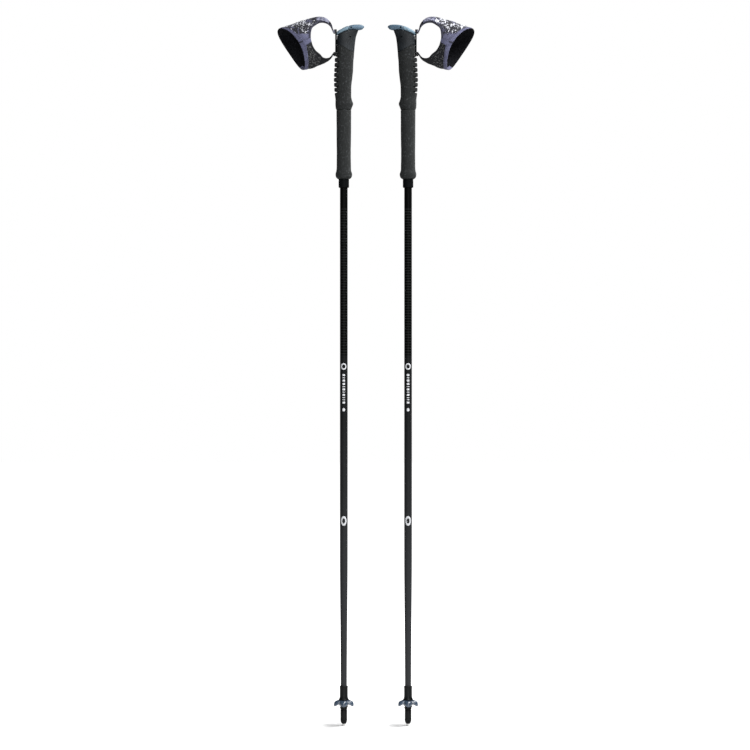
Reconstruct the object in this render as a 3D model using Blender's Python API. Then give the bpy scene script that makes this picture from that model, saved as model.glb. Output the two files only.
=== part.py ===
"""A pair of fixed-length trekking poles with click-in hand straps.

The poles stand upright side by side on their tips, with the origin on the ground midway between
them: +X runs from the left pole to the right one and +Z runs up the shafts. Each pole is described
once, in millimetres, in its own frame: its shaft axis is x = y = 0, its tip is at z = 0 and +x is the
side that the horn of its cap points to. The right pole is the mirror image of the left one.
"""

import math

import bmesh
import bpy
from mathutils import Matrix, Vector

MM = 0.001
GAP = 0.3
SEAM_GAP = 0.25

# Driving dimensions, in millimetres.
POLE_SPACING = 110.0
SHAFT_RADIUS = 6.55
SHAFT_END_RADIUS = 5.2
SHAFT_WALL = 1.1
SHAFT_BOTTOM = 50.6
SHAFT_TOP = 1165.0
FERRULE_TOP = 68.0
COLLAR_BOTTOM, COLLAR_TOP = 921.0, 935.7
EXTENSION_BOTTOM, EXTENSION_TOP = 936.0, 1054.0
BORE_RADIUS = SHAFT_RADIUS + GAP
BASKET_LOBES = 5
BASKET_REACH = 17.8
NOTCHES = 8
NOTCH_PITCH = 8.55
FIRST_NOTCH = 1084.2
NOTCH_DEPTH = 4.0
LEVER_PIN = Vector((12.8, 0.0, 1194.0))
PAWL_PIN = Vector((11.0, 0.0, 1178.0))
PIN_RADIUS = 1.2
LEVER_TRAVEL = math.radians(4.0)
SLOT_HALF_WIDTH = 4.0
SLOT_FLOOR = 1169.5
CLIP_BACK, CLIP_FRONT = -14.5, -12.3
SWING_AXIS_X = -16.6
POST_RADIUS = 0.8
LOOP_RADIUS = 1.8
UPPER_LOOP = (1186.4, 1190.2)
PALM_LOOP = (1147.9, 1151.7)

ROUND = 16
SMALL_ROUND = 12

# Outline of the grip, read at a height: (z, front, rear, half width).
GRIP_OUTLINE = (
    (936.0, 10.2, 10.2, 10.2),
    (937.6, 12.4, 12.4, 12.4),
    (940.3, 13.9, 13.9, 13.9),
    (943.7, 14.4, 14.3, 14.3),
    (946.8, 13.8, 13.8, 13.7),
    (949.8, 12.8, 12.8, 12.7),
    (954.5, 12.4, 12.4, 12.3),
    (982.0, 12.0, 12.2, 12.1),
    (1010.0, 12.5, 12.4, 12.3),
    (1054.0, 12.7, 12.7, 12.5),
    (1058.0, 13.9, 14.1, 13.6),
    (1064.4, 16.0, 14.5, 14.2),
    (1071.0, 13.9, 14.4, 13.3),
    (1078.0, 12.8, 15.2, 12.8),
    (1091.7, 12.8, 16.5, 13.0),
    (1105.4, 14.2, 17.0, 13.2),
    (1119.0, 15.7, 16.6, 13.4),
    (1132.8, 16.3, 15.9, 13.4),
    (1144.2, 17.2, 15.4, 13.3),
    (1147.0, 17.4, 12.0, 13.3),
    (1165.0, 18.9, 12.0, 13.2),
    (1176.0, 20.3, 12.0, 13.1),
    (1181.0, 21.4, 12.0, 13.0),
    (1186.0, 23.2, 12.0, 12.9),
    (1192.0, 25.5, 12.0, 12.8),
)

# Side view of the cap and the lever behind it: (x, underside, top, half width).
CAP_OUTLINE = (
    (-12.0, 1182.2, 1186.4, 7.6),
    (-11.0, 1182.0, 1188.2, 9.6),
    (-7.9, 1182.8, 1190.2, 11.6),
    (-3.0, 1184.7, 1192.6, 12.8),
    (2.0, 1186.8, 1195.3, 13.2),
    (8.6, 1189.0, 1197.6, 12.9),
    (14.2, 1190.3, 1199.0, 12.0),
    (20.0, 1190.5, 1199.8, 10.6),
    (26.0, 1190.8, 1200.0, 8.4),
    (31.0, 1192.0, 1199.4, 5.6),
    (34.0, 1194.6, 1198.0, 2.6),
)
CAP_SPLIT = 8.6


def between(table, key, column):
    """A column of a table, read between its rows."""
    rows = sorted(table)
    if key <= rows[0][0]:
        return rows[0][column]
    for low, high in zip(rows, rows[1:]):
        if key <= high[0]:
            share = (key - low[0]) / (high[0] - low[0])
            return low[column] + share * (high[column] - low[column])
    return rows[-1][column]


def smooth(value):
    value = min(max(value, 0.0), 1.0)
    return value * value * (3 - 2 * value)


# ---------------------------------------------------------------- solids


def strip_cap(bm, ring):
    """Closes a ring whose points i and -i mirror each other with quads, so that it may be curved."""
    half = len(ring) // 2
    bm.faces.new((ring[0], ring[1], ring[-1]))
    bm.faces.new((ring[half], ring[half + 1], ring[half - 1]))
    for i in range(1, half - 1):
        bm.faces.new((ring[i], ring[i + 1], ring[-i - 1], ring[-i]))


def loft(rings, cyclic=False, curved_ends=False):
    """A closed solid through rings of equal length. A cyclic one closes on its first ring."""
    bm = bmesh.new()
    loops = [[bm.verts.new(point) for point in ring] for ring in rings]
    following = loops[1:] + loops[:1] if cyclic else loops[1:]
    for low, high in zip(loops, following):
        for i in range(len(low)):
            j = (i + 1) % len(low)
            bm.faces.new((low[i], low[j], high[j], high[i]))
    for ring in () if cyclic else (loops[0], loops[-1]):
        if curved_ends:
            strip_cap(bm, ring)
        else:
            bm.faces.new(ring)
    bmesh.ops.recalc_face_normals(bm, faces=bm.faces)
    return bm


def turned(profile, steps=ROUND):
    """A solid of revolution. A profile that starts and ends on the axis is closed there."""
    bm = bmesh.new()
    points = [bm.verts.new((radius, 0, z)) for radius, z in profile]
    edges = [bm.edges.new(pair) for pair in zip(points, points[1:])]
    if profile[0][0] > 0:
        edges.append(bm.edges.new((points[-1], points[0])))
    bmesh.ops.spin(bm, geom=points + edges, cent=(0, 0, 0), axis=(0, 0, 1), angle=2 * math.pi, steps=steps)
    bmesh.ops.remove_doubles(bm, verts=bm.verts, dist=0.001)
    bmesh.ops.recalc_face_normals(bm, faces=bm.faces)
    return bm


def block(low, high):
    bm = bmesh.new()
    centre = (Vector(low) + Vector(high)) / 2
    size = Vector(high) - Vector(low)
    bmesh.ops.create_cube(bm, size=1, matrix=Matrix.Translation(centre) @ Matrix.Diagonal(size.to_4d()))
    return bm


def cross_pin(centre, radius, half_length):
    """A cylinder along y."""
    turn = Matrix.Rotation(math.pi / 2, 4, "X")
    bm = bmesh.new()
    bmesh.ops.create_cone(
        bm,
        cap_ends=True,
        segments=SMALL_ROUND,
        radius1=radius,
        radius2=radius,
        depth=2 * half_length,
        matrix=Matrix.Translation(centre) @ turn,
    )
    return bm


def plate(outline, half_width):
    """A side-view outline of (x, z) points, extruded to both sides of y = 0."""
    return loft([[(x, y, z) for x, z in outline] for y in (-half_width, half_width)])


def shell(grid, thickness, ring=False):
    """A sheet through a grid of points, thickened to both sides. A ring closes on its first row."""
    rows, columns = len(grid), len(grid[0])

    def normal(i, j):
        before = (i - 1) % rows if ring else max(i - 1, 0)
        after = (i + 1) % rows if ring else min(i + 1, rows - 1)
        along = grid[after][j] - grid[before][j]
        across = grid[i][min(j + 1, columns - 1)] - grid[i][max(j - 1, 0)]
        return along.cross(across).normalized()

    loops = []
    for i in range(rows):
        offsets = [normal(i, j) * thickness / 2 for j in range(columns)]
        upper = [point + offset for point, offset in zip(grid[i], offsets)]
        lower = [point - offset for point, offset in zip(grid[i], offsets)]
        loops.append(upper + lower[::-1])
    return shell_loft(loops, columns, ring)


def shell_loft(loops, columns, ring):
    """Like loft(), with the end caps as strips of quads, because a curved end isn't flat."""
    bm = bmesh.new()
    rows = [[bm.verts.new(point) for point in loop] for loop in loops]
    for low, high in zip(rows, rows[1:] + (rows[:1] if ring else [])):
        for i in range(len(low)):
            j = (i + 1) % len(low)
            bm.faces.new((low[i], low[j], high[j], high[i]))
    for end in () if ring else (rows[0], rows[-1]):
        for i in range(columns - 1):
            bm.faces.new((end[i], end[i + 1], end[-i - 2], end[-i - 1]))
    bmesh.ops.recalc_face_normals(bm, faces=bm.faces)
    return bm


def combined(bm, other, operation):
    """The Boolean of two solids, as a new one."""
    objects = []
    for solid in (bm, other):
        mesh = bpy.data.meshes.new("boolean")
        solid.to_mesh(mesh)
        solid.free()
        objects.append(bpy.data.objects.new("boolean", mesh))
        bpy.context.scene.collection.objects.link(objects[-1])
    modifier = objects[0].modifiers.new("boolean", "BOOLEAN")
    modifier.operation = operation
    modifier.solver = "EXACT"
    modifier.object = objects[1]
    evaluated = objects[0].evaluated_get(bpy.context.evaluated_depsgraph_get())
    result = bmesh.new()
    result.from_mesh(evaluated.to_mesh())
    evaluated.to_mesh_clear()
    for obj in objects:
        bpy.data.objects.remove(obj)
    return result


def cut(bm, *cutters):
    for cutter in cutters:
        bm = combined(bm, cutter, "DIFFERENCE")
    return bm


def joined(bm, *others):
    for other in others:
        bm = combined(bm, other, "UNION")
    return bm


# ---------------------------------------------------------------- shaft and foot


def shaft_radius(z):
    """The carbon tube is parallel for most of its length and tapers to the ferrule."""
    table = ((SHAFT_BOTTOM, SHAFT_END_RADIUS), (160.0, 5.75), (230.0, 6.3), (285.0, SHAFT_RADIUS))
    return between(table, z, 1)


def shaft():
    outer = [(shaft_radius(z), z) for z in (SHAFT_BOTTOM, 160.0, 230.0, 285.0, SHAFT_TOP)]
    inner = [(radius - SHAFT_WALL, z) for radius, z in (outer[0], outer[3], outer[-1])]
    return turned(outer + inner[::-1])


def carbide_tip():
    head = ((0, 0), (1.5, 0), (2.3, 0.8), (2.6, 2.2), (2.6, 3.5))
    stub = ((2.05, 3.5), (2.05, 11.7), (0, 11.7))
    return turned(head + stub, SMALL_ROUND)


def tip_body():
    """The screw-in tip: a flexible sleeve round the carbide, with a threaded stud on top."""
    return turned(
        (
            (0, 12.0),
            (2.05 + GAP, 12.0),
            (2.05 + GAP, 3.8),
            (3.6, 3.8),
            (5.0, 7.0),
            (5.65, 9.5),
            (5.65, 27.4),
            (5.1, 28.0),
            (3.0, 28.0),
            (3.0, 44.0),
            (0, 44.0),
        )
    )


def thread_rib():
    """Just over one turn of the coarse thread that the basket screws over."""
    turns, steps, pitch, start = 1.2, 24, 3.4, 29.3
    rings = []
    for i in range(steps + 1):
        share = i / steps
        angle = 2 * math.pi * turns * share
        height = start + pitch * turns * share
        reach = 5.95 + 1.1 * min(1.0, 6 * share, 6 * (1 - share))
        section = ((5.2, -0.8), (reach, -0.35), (reach, 0.35), (5.2, 0.8))
        rings.append([(r * math.cos(angle), r * math.sin(angle), height + dz) for r, dz in section])
    return loft(rings)


def ferrule():
    """The sleeve bonded over the end of the shaft, with the stop and the thread for the basket."""
    body = turned(
        (
            (0, 46.0),
            (3.0 + GAP, 46.0),
            (3.0 + GAP, 28.4),
            (5.8, 28.4),
            (5.8, 44.2),
            (8.4, 44.2),
            (8.6, 45.0),
            (7.3, 48.0),
            (6.85, 49.6),
            (6.85, 60.0),
            (7.1, FERRULE_TOP - 0.6),
            (6.9, FERRULE_TOP),
            (SHAFT_END_RADIUS + 2 * GAP, FERRULE_TOP),
            (SHAFT_END_RADIUS + 2 * GAP, SHAFT_BOTTOM - GAP),
            (0, SHAFT_BOTTOM - GAP),
        )
    )
    return joined(body, thread_rib())


def basket():
    """A small star basket: a hub with five lobes that curl down at their ends."""
    steps = 6 * BASKET_LOBES
    rings = []
    for i in range(steps):
        angle = 2 * math.pi * i / steps
        lobe = (0.5 + 0.5 * math.cos(BASKET_LOBES * (angle + math.pi / 2))) ** 0.6
        reach = 11.8 + (BASKET_REACH - 11.8) * lobe
        drop = 2.0 + 5.5 * lobe
        section = (
            (6.15, 43.9),
            (8.4, 43.9),
            (3.8 + 0.55 * reach, 43.5),
            (reach - 0.5, 42.2 - 0.35 * drop),
            (reach, 41.6 - 0.8 * drop),
            (reach - 0.9, 41.2 - drop),
            (reach - 2.2, 41.6 - 0.85 * drop),
            (3.4 + 0.5 * reach, 41.0),
            (8.5, 40.0),
            (7.9, 34.6),
            (6.15, 34.6),
        )
        rings.append([(r * math.cos(angle), r * math.sin(angle), z) for r, z in section])
    return loft(rings, cyclic=True)


# ---------------------------------------------------------------- grip


def grip_ring(height, scale=1.0, notch=0.0):
    """One horizontal outline of the grip. height is a number, or gives z from x."""
    ring = []
    for i in range(ROUND):
        angle = 2 * math.pi * i / ROUND
        cosine, sine = math.cos(angle), math.sin(angle)
        power = 1.0 if cosine > 0 else 0.85
        z = height if not callable(height) else height(10 * cosine)
        for _ in range(4):
            side = between(GRIP_OUTLINE, z, 1 if cosine > 0 else 2)
            x = scale * math.copysign(abs(cosine) ** power, cosine) * side
            z = height if not callable(height) else height(x)
        y = scale * between(GRIP_OUTLINE, z, 3) * math.copysign(abs(sine) ** power, sine)
        depth = notch * smooth((-cosine - 0.4) / 0.4)
        ring.append(Vector((x + depth, y, z)))
    return ring


def bore_ring(height, radius=BORE_RADIUS):
    points = []
    for i in range(ROUND):
        angle = 2 * math.pi * i / ROUND
        x = radius * math.cos(angle)
        points.append(Vector((x, radius * math.sin(angle), height(x) if callable(height) else height)))
    return points


def foam_edge(x):
    """The foam stops along a slanting wave, high at the rear and low at the front."""
    return 1165.0 - 12.0 * smooth((x + 12.0) / 30.0)


def collar():
    return turned(
        (
            (BORE_RADIUS, COLLAR_BOTTOM),
            (8.2, COLLAR_BOTTOM),
            (8.95, COLLAR_BOTTOM + 1.2),
            (8.95, COLLAR_TOP),
            (BORE_RADIUS, COLLAR_TOP),
        )
    )


def grip_extension():
    heights = (EXTENSION_BOTTOM, 937.6, 940.3, 943.7, 946.8, 949.8, 954.5, 982.0, 1010.0, EXTENSION_TOP - GAP)
    rings = [grip_ring(z) for z in heights]
    return loft(rings + [bore_ring(heights[-1]), bore_ring(heights[0])], cyclic=True)


def upper_grip():
    """Foam with a ring at its foot and eight finger notches across its rear."""
    rings = [grip_ring(z) for z in (EXTENSION_TOP, 1058.0, 1064.4, 1071.0, 1078.0)]
    for i in range(NOTCHES):
        middle = FIRST_NOTCH + i * NOTCH_PITCH
        rings += [
            grip_ring(middle - 1.5),
            grip_ring(middle - 0.8, notch=NOTCH_DEPTH),
            grip_ring(middle + 0.8, notch=NOTCH_DEPTH),
            grip_ring(middle + 1.5),
        ]
    rings += [grip_ring(1148.0), grip_ring(lambda x: foam_edge(x) - SEAM_GAP)]
    bore = [bore_ring(lambda x: foam_edge(x) - SEAM_GAP), bore_ring(EXTENSION_TOP)]
    return loft(rings + bore, cyclic=True)


def cap_under(x):
    return between(CAP_OUTLINE, x, 1)


def cap_over(x):
    return between(CAP_OUTLINE, x, 2)


def head_rim(x):
    """The head stops short of the lever by more than the lever's travel."""
    return cap_under(x) - GAP - 1.15 * math.tan(LEVER_TRAVEL) * max(LEVER_PIN.x - x, 0)


def cap_sections(stations, inset=0.0, under=0.0, over=0.0, power=0.7):
    """Upright cross-sections of the cap's outline at some x, with inset sides and moved faces."""
    rings = []
    for x in stations:
        low, high = cap_under(x) + under, cap_over(x) - over
        half = between(CAP_OUTLINE, x, 3) - inset
        ring = []
        for i in range(SMALL_ROUND + 4):
            angle = 2 * math.pi * (i + 0.5) / (SMALL_ROUND + 4)
            y = half * math.copysign(abs(math.cos(angle)) ** power, math.cos(angle))
            rise = math.copysign(abs(math.sin(angle)) ** power, math.sin(angle))
            ring.append((x, y, (low + high) / 2 + rise * (high - low) / 2))
        rings.append(ring)
    return loft(rings)


def square_sections(stations, inset, bottom, top):
    """Like cap_sections(), with square corners. bottom and top give z from x."""
    rings = []
    for x in stations:
        half = between(CAP_OUTLINE, x, 3) - inset
        corners = ((-half, bottom(x)), (half, bottom(x)), (half, top(x)), (-half, top(x)))
        rings.append([(x, y, z) for y, z in corners])
    return loft(rings)


def grip_head():
    """The hard head over the top of the shaft. A slot takes the latch, and a boss fills the lever."""
    lower = [bore_ring(SHAFT_TOP + 2 * GAP), bore_ring(lambda x: foam_edge(x) + SEAM_GAP)]
    sides = [
        grip_ring(lambda x, share=share: (1 - share) * (foam_edge(x) + SEAM_GAP) + share * head_rim(x))
        for share in (0.0, 0.35, 0.7, 1.0)
    ]
    boss = square_sections((-8.6, -3.0, 2.0, 7.4), 3.4, lambda x: 1177.0, lambda x: cap_under(x) + 1.2)
    slot = block((-20.0, -SLOT_HALF_WIDTH, SLOT_FLOOR), (14.6, SLOT_HALF_WIDTH, 1215.0))
    solid = joined(loft(lower + sides, curved_ends=True), boss)
    return cut(solid, slot, cross_pin(PAWL_PIN, PIN_RADIUS + GAP, 20.0))


def cap_horn():
    """The fixed front of the cap, drawn out into the horn, with a slot for the lever's knuckle."""
    body = cap_sections((CAP_SPLIT + GAP, 11.5, 14.2, 20.0, 26.0, 31.0, 33.2, 34.0))
    slot = block((5.0, -SLOT_HALF_WIDTH, 1180.0), (16.6, SLOT_HALF_WIDTH, 1197.0))
    return cut(body, slot, cross_pin(LEVER_PIN, PIN_RADIUS + GAP, 20.0))


def release_lever():
    """The thumb lever behind the horn: a shell with a knuckle on the pin and a finger for the pawl."""
    body = cap_sections((-12.0, -11.0, -7.9, -3.0, 2.0, CAP_SPLIT - GAP))
    stations = (-9.6, -7.9, -3.0, 2.0, 12.0)
    hollow = square_sections(stations, 2.5, lambda x: 1170.0, lambda x: cap_over(x) - 2.4)
    under = ((1.0, 1191.2), (9.0, 1191.2), (13.6, 1191.4), (15.4, 1193.0))
    over = ((15.4, 1195.0), (14.0, 1196.2), (4.0, 1195.9))
    knuckle = plate(
        under + over,
        SLOT_HALF_WIDTH - 0.4,
    )
    finger = block((5.8, -2.0, 1183.6), (8.1, 2.0, 1192.0))
    return cut(joined(cut(body, hollow), knuckle, finger), cross_pin(LEVER_PIN, PIN_RADIUS + GAP, 20.0))


def lever_pin():
    return cross_pin(LEVER_PIN, PIN_RADIUS, 12.1)


def pawl_pin():
    return cross_pin(PAWL_PIN, PIN_RADIUS, 11.3)


def latch_pawl():
    """A bell crank on the pawl pin: the lever's finger pushes its upright arm and lifts its nose."""
    outline = (
        (-9.3, 1174.9),
        (-6.8, 1174.9),
        (-6.2, 1176.2),
        (8.2, 1176.0),
        (9.6, 1175.2),
        (12.6, 1175.4),
        (13.8, 1177.4),
        (13.4, 1179.8),
        (11.4, 1181.0),
        (11.0, 1189.0),
        (8.5, 1189.0),
        (8.5, 1180.2),
        (6.0, 1178.8),
        (-9.3, 1178.4),
    )
    return cut(plate(outline, 2.4), cross_pin(PAWL_PIN, PIN_RADIUS + GAP, 20.0))


def latch_spring():
    """A small compression spring between the pawl's arm and the roof of the lever."""
    centre, radius, wire, turns, steps = Vector((-3.0, 0.0)), 2.2, 0.35, 5, 50
    low, high = 1179.1, 1189.4
    rings = []
    for i in range(steps + 1):
        angle = 2 * math.pi * turns * i / steps
        height = low + (high - low) * i / steps
        ring = []
        for corner in range(4):
            turn = 2 * math.pi * corner / 4
            reach = radius + wire * math.cos(turn)
            ring.append(
                (
                    centre.x + reach * math.cos(angle),
                    centre.y + reach * math.sin(angle),
                    height + wire * math.sin(turn),
                )
            )
        rings.append(ring)
    return loft(rings)


# ---------------------------------------------------------------- hand strap

# Four points of the wrist opening: on the near side, at the top, on the far side and at the bottom.
WRIST_NEAR = Vector((-79.0, -27.0, 1170.0))
WRIST_TOP = Vector((-113.0, 0.0, 1190.5))
WRIST_FAR = Vector((-94.0, 28.1, 1153.0))
WRIST_BOTTOM = Vector((-67.8, 0.0, 1125.0))

# The front edge of the band, by its angle round the hand: round the thumb hole on the near side,
# over the ridge of the upper strap, down the finger side and under the ridge of the palm strap.
FRONT_EDGE = (
    (0, (-56.5, -24.0, 1176.5)),
    (30, (-55.4, -21.5, 1188.0)),
    (52, (-51.0, -15.5, 1197.0)),
    (70, (-45.0, -9.0, 1203.0)),
    (90, (-46.0, 0.0, 1213.2)),
    (110, (-46.0, 9.0, 1204.0)),
    (128, (-53.5, 15.5, 1199.0)),
    (150, (-58.5, 21.5, 1192.0)),
    (180, (-60.0, 24.0, 1181.0)),
    (210, (-58.0, 22.0, 1168.0)),
    (232, (-51.0, 16.0, 1157.0)),
    (250, (-40.0, 9.0, 1148.0)),
    (270, (-44.0, 0.0, 1130.5)),
    (290, (-38.0, -9.0, 1144.5)),
    (308, (-48.5, -16.0, 1154.0)),
    (330, (-54.0, -22.0, 1164.0)),
    (360, (-56.5, -24.0, 1176.5)),
)

FABRIC = 1.6
BAND_BULGE = 2.2
SEAM_NEAR, SEAM_FAR = -12.0, 192.0
BINDING_WIDTH = 7.0
STRAP_SPREAD = 19.0


def wrist_edge(degrees):
    """The wrist opening, through its four points."""
    angle = math.radians(degrees)
    middle = (WRIST_NEAR + WRIST_FAR + WRIST_TOP + WRIST_BOTTOM) / 4
    second = (WRIST_NEAR + WRIST_FAR - WRIST_TOP - WRIST_BOTTOM) / 4
    across, upward = (WRIST_NEAR - WRIST_FAR) / 2, (WRIST_TOP - WRIST_BOTTOM) / 2
    return middle + across * math.cos(angle) + upward * math.sin(angle) + second * math.cos(2 * angle)


def front_edge(degrees):
    degrees = degrees % 360
    for (low, start), (high, end) in zip(FRONT_EDGE, FRONT_EDGE[1:]):
        if degrees <= high:
            return Vector(start).lerp(Vector(end), (degrees - low) / (high - low))
    return Vector(FRONT_EDGE[0][1])


def band_point(degrees, along):
    """A point of the hand wrap: along runs from 0 at the wrist to 1 at the front edge."""
    wrist, front = wrist_edge(degrees), front_edge(degrees)
    angle = math.radians(degrees)
    outward = Vector((0, -math.cos(angle), math.sin(angle)))
    return wrist.lerp(front, along) + outward * BAND_BULGE * math.sin(math.pi * along)


def band_share(degrees, millimetres):
    """How far along the band a distance from the wrist edge is."""
    return millimetres / (front_edge(degrees) - wrist_edge(degrees)).length


def band_patch(first, last, rows, start, columns):
    """A panel of the band between two angles, starting some millimetres in from the wrist edge."""
    grid = []
    for i in range(rows):
        degrees = first + (last - first) * i / (rows - 1)
        inner = band_share(degrees, start)
        grid.append([band_point(degrees, inner + (1 - inner) * j / (columns - 1)) for j in range(columns)])
    return shell(grid, FABRIC)


def back_panel():
    return band_patch(SEAM_NEAR + 0.6, SEAM_FAR - 0.6, 19, BINDING_WIDTH + GAP, 4)


def palm_panel():
    return band_patch(SEAM_FAR + 0.6, SEAM_NEAR + 360 - 0.6, 15, BINDING_WIDTH + GAP, 4)


def wrist_binding():
    """The folded hem round the wrist opening."""
    rows = 30
    grid = []
    for i in range(rows):
        degrees = 360 * i / rows
        share = band_share(degrees, BINDING_WIDTH)
        grid.append([band_point(degrees, share * j) for j in (0.0, 0.5, 1.0)])
    return shell(grid, 2.6, ring=True)


def bezier(start, first, second, end, share):
    rest = 1 - share
    return (
        start * rest**3 + 3 * first * rest**2 * share + 3 * second * rest * share**2 + end * share**3
    )


def strap_loop(low, high):
    """The sewn loop at the end of a strap, round a post of the clip."""
    inner = POST_RADIUS + GAP
    bm = turned(((inner, low), (LOOP_RADIUS, low), (LOOP_RADIUS, high), (inner, high)), SMALL_ROUND)
    bmesh.ops.translate(bm, verts=bm.verts, vec=(SWING_AXIS_X, 0, 0))
    return bm


def strap_patch(middle, ridge, edge, loop):
    """A strap from the band's front edge round one angle, arched, and drawn in to a loop on the clip.

    ridge and edge hold the last three of the four points that draw its middle and its border.
    """
    columns, rows = 9, 5
    grid = []
    for i in range(rows):
        side = 2 * i / (rows - 1) - 1
        degrees = middle + STRAP_SPREAD * side
        onward = (band_point(degrees, 1.0) - band_point(degrees, 0.9)).normalized()
        start = band_point(degrees, 1.0) + onward * GAP * 1.6
        sign = side * math.copysign(1, start.y * side) if side else 0
        points = []
        for inner, outer in zip(ridge, edge):
            point = Vector(inner).lerp(Vector(outer), side * side)
            points.append(Vector((point.x, outer[1] * sign, point.z)))
        grid.append([bezier(start, *points, j / (columns - 1)) for j in range(columns)])
    return joined(shell(grid, 1.2), strap_loop(*loop))


def upper_strap():
    end_x = SWING_AXIS_X - LOOP_RADIUS - 0.1
    ridge = ((-33.0, 0, 1216.2), (-19.6, 0, 1208.5), (end_x, 0, 1187.0))
    edge = ((-37.0, 8.0, 1206.4), (-20.0, 3.2, 1204.0), (end_x, 1.4, 1187.0))
    return strap_patch(90, ridge, edge, UPPER_LOOP)


def palm_strap():
    end_x = SWING_AXIS_X - LOOP_RADIUS - 0.1
    ridge = ((-34.0, 0, 1134.0), (-20.6, 0, 1138.0), (end_x, 0, 1151.0))
    edge = ((-31.5, 7.5, 1140.0), (-20.4, 3.2, 1140.5), (end_x, 1.4, 1151.0))
    return strap_patch(270, ridge, edge, PALM_LOOP)


def closure_tab():
    """The end of the back panel that laps over the near seam and closes the band."""
    lift = FABRIC / 2 + GAP + 0.7
    grid = []
    for i in range(4):
        degrees = SEAM_NEAR - 9 + 5.0 * i
        row = []
        for j in range(6):
            share = 0.34 + 0.64 * j / 5
            point = band_point(degrees, share)
            along = band_point(degrees, share + 0.05) - band_point(degrees, share - 0.05)
            across = band_point(degrees + 3, share) - band_point(degrees - 3, share)
            outward = along.cross(across).normalized()
            row.append(point + outward * math.copysign(lift, -outward.y))
        grid.append(row)
    return shell(grid, 1.2)


def clip_post(loop):
    """A post for a strap loop, held by an ear above and one below."""
    low, high = loop
    half_outline = [(CLIP_BACK + 0.5, 1.1), (SWING_AXIS_X, 1.1)]
    half_outline += [(SWING_AXIS_X - 0.8, 0.75), (SWING_AXIS_X - 1.05, 0.3)]
    outline = [(x, -y) for x, y in half_outline] + half_outline[::-1]
    ears = [
        loft([[(x, y, level) for x, y in outline] for level in (z, z + 1.3)])
        for z in (low - GAP - 1.3, high + GAP)
    ]
    foot = ((0, low - 1.0), (POST_RADIUS, low - 1.0))
    bm = turned(foot + ((POST_RADIUS, high + 1.0), (0, high + 1.0)), SMALL_ROUND)
    bmesh.ops.translate(bm, verts=bm.verts, vec=(SWING_AXIS_X, 0, 0))
    return joined(bm, *ears)


def strap_clip():
    """The moulded plug on the strap: a bar down the rear of the head and a tongue into its slot."""
    bar = plate(
        (
            (CLIP_FRONT, 1147.5),
            (CLIP_FRONT, 1190.6),
            (CLIP_FRONT - 0.7, 1192.0),
            (CLIP_BACK, 1191.8),
            (CLIP_BACK, 1147.5),
            (CLIP_BACK + 0.6, 1146.2),
        ),
        4.6,
    )
    tongue = plate(
        (
            (-13.4, 1170.2),
            (-4.6, 1170.2),
            (-3.8, 1171.4),
            (-5.8, 1174.4),
            (-6.4, 1173.2),
            (-10.0, 1173.2),
            (-10.6, 1174.4),
            (-13.4, 1174.4),
        ),
        3.2,
    )
    return joined(bar, tongue, clip_post(UPPER_LOOP), clip_post(PALM_LOOP))


# ---------------------------------------------------------------- assembly

MATERIALS = {
    "carbon": ((0.030, 0.031, 0.033), 0.38, 0.0),
    "foam": ((0.030, 0.032, 0.032), 0.95, 0.0),
    "black_plastic": ((0.016, 0.018, 0.019), 0.45, 0.0),
    "head_plastic": ((0.035, 0.038, 0.042), 0.40, 0.0),
    "blue_plastic": ((0.120, 0.180, 0.230), 0.45, 0.0),
    "steel": ((0.550, 0.550, 0.560), 0.30, 1.0),
    "grey_fabric": ((0.110, 0.115, 0.160), 0.90, 0.0),
    "black_fabric": ((0.015, 0.015, 0.018), 0.90, 0.0),
}

# name, solid, material, origin in the pole's frame
PIECES = (
    ("shaft", shaft, "carbon", (0, 0, SHAFT_BOTTOM)),
    ("carbide_tip", carbide_tip, "steel", (0, 0, 0)),
    ("tip_body", tip_body, "black_plastic", (0, 0, 0)),
    ("ferrule", ferrule, "black_plastic", (0, 0, 28.4)),
    ("basket", basket, "blue_plastic", (0, 0, 34.6)),
    ("grip_collar", collar, "black_plastic", (0, 0, COLLAR_BOTTOM)),
    ("grip_extension", grip_extension, "foam", (0, 0, EXTENSION_BOTTOM)),
    ("upper_grip", upper_grip, "foam", (0, 0, EXTENSION_TOP)),
    ("grip_head", grip_head, "head_plastic", (0, 0, SHAFT_TOP)),
    ("cap_horn", cap_horn, "blue_plastic", tuple(LEVER_PIN)),
    ("release_lever", release_lever, "blue_plastic", tuple(LEVER_PIN)),
    ("lever_pin", lever_pin, "steel", tuple(LEVER_PIN)),
    ("latch_pawl", latch_pawl, "steel", tuple(PAWL_PIN)),
    ("pawl_pin", pawl_pin, "steel", tuple(PAWL_PIN)),
    ("latch_spring", latch_spring, "steel", (-3.0, 0, 1179.1)),
    ("strap_clip", strap_clip, "black_plastic", (CLIP_FRONT, 0, 1172.3)),
    ("wrap_back_panel", back_panel, "grey_fabric", (SWING_AXIS_X, 0, 1170.0)),
    ("wrap_palm_panel", palm_panel, "black_fabric", (SWING_AXIS_X, 0, 1170.0)),
    ("wrist_binding", wrist_binding, "grey_fabric", (SWING_AXIS_X, 0, 1170.0)),
    ("upper_strap", upper_strap, "grey_fabric", (SWING_AXIS_X, 0, 1170.0)),
    ("palm_strap", palm_strap, "black_fabric", (SWING_AXIS_X, 0, 1170.0)),
    ("closure_tab", closure_tab, "grey_fabric", (SWING_AXIS_X, 0, 1170.0)),
)
NOT_MIRRORED = ("ferrule",)
SMOOTH_ANGLE = math.radians(35)


def make_material(name):
    colour, roughness, metallic = MATERIALS[name]
    material = bpy.data.materials.new(name)
    material.use_nodes = True
    shader = material.node_tree.nodes["Principled BSDF"]
    shader.inputs["Base Color"].default_value = (*colour, 1)
    shader.inputs["Roughness"].default_value = roughness
    shader.inputs["Metallic"].default_value = metallic
    material.diffuse_color = (*colour, 1)
    return material


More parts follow.
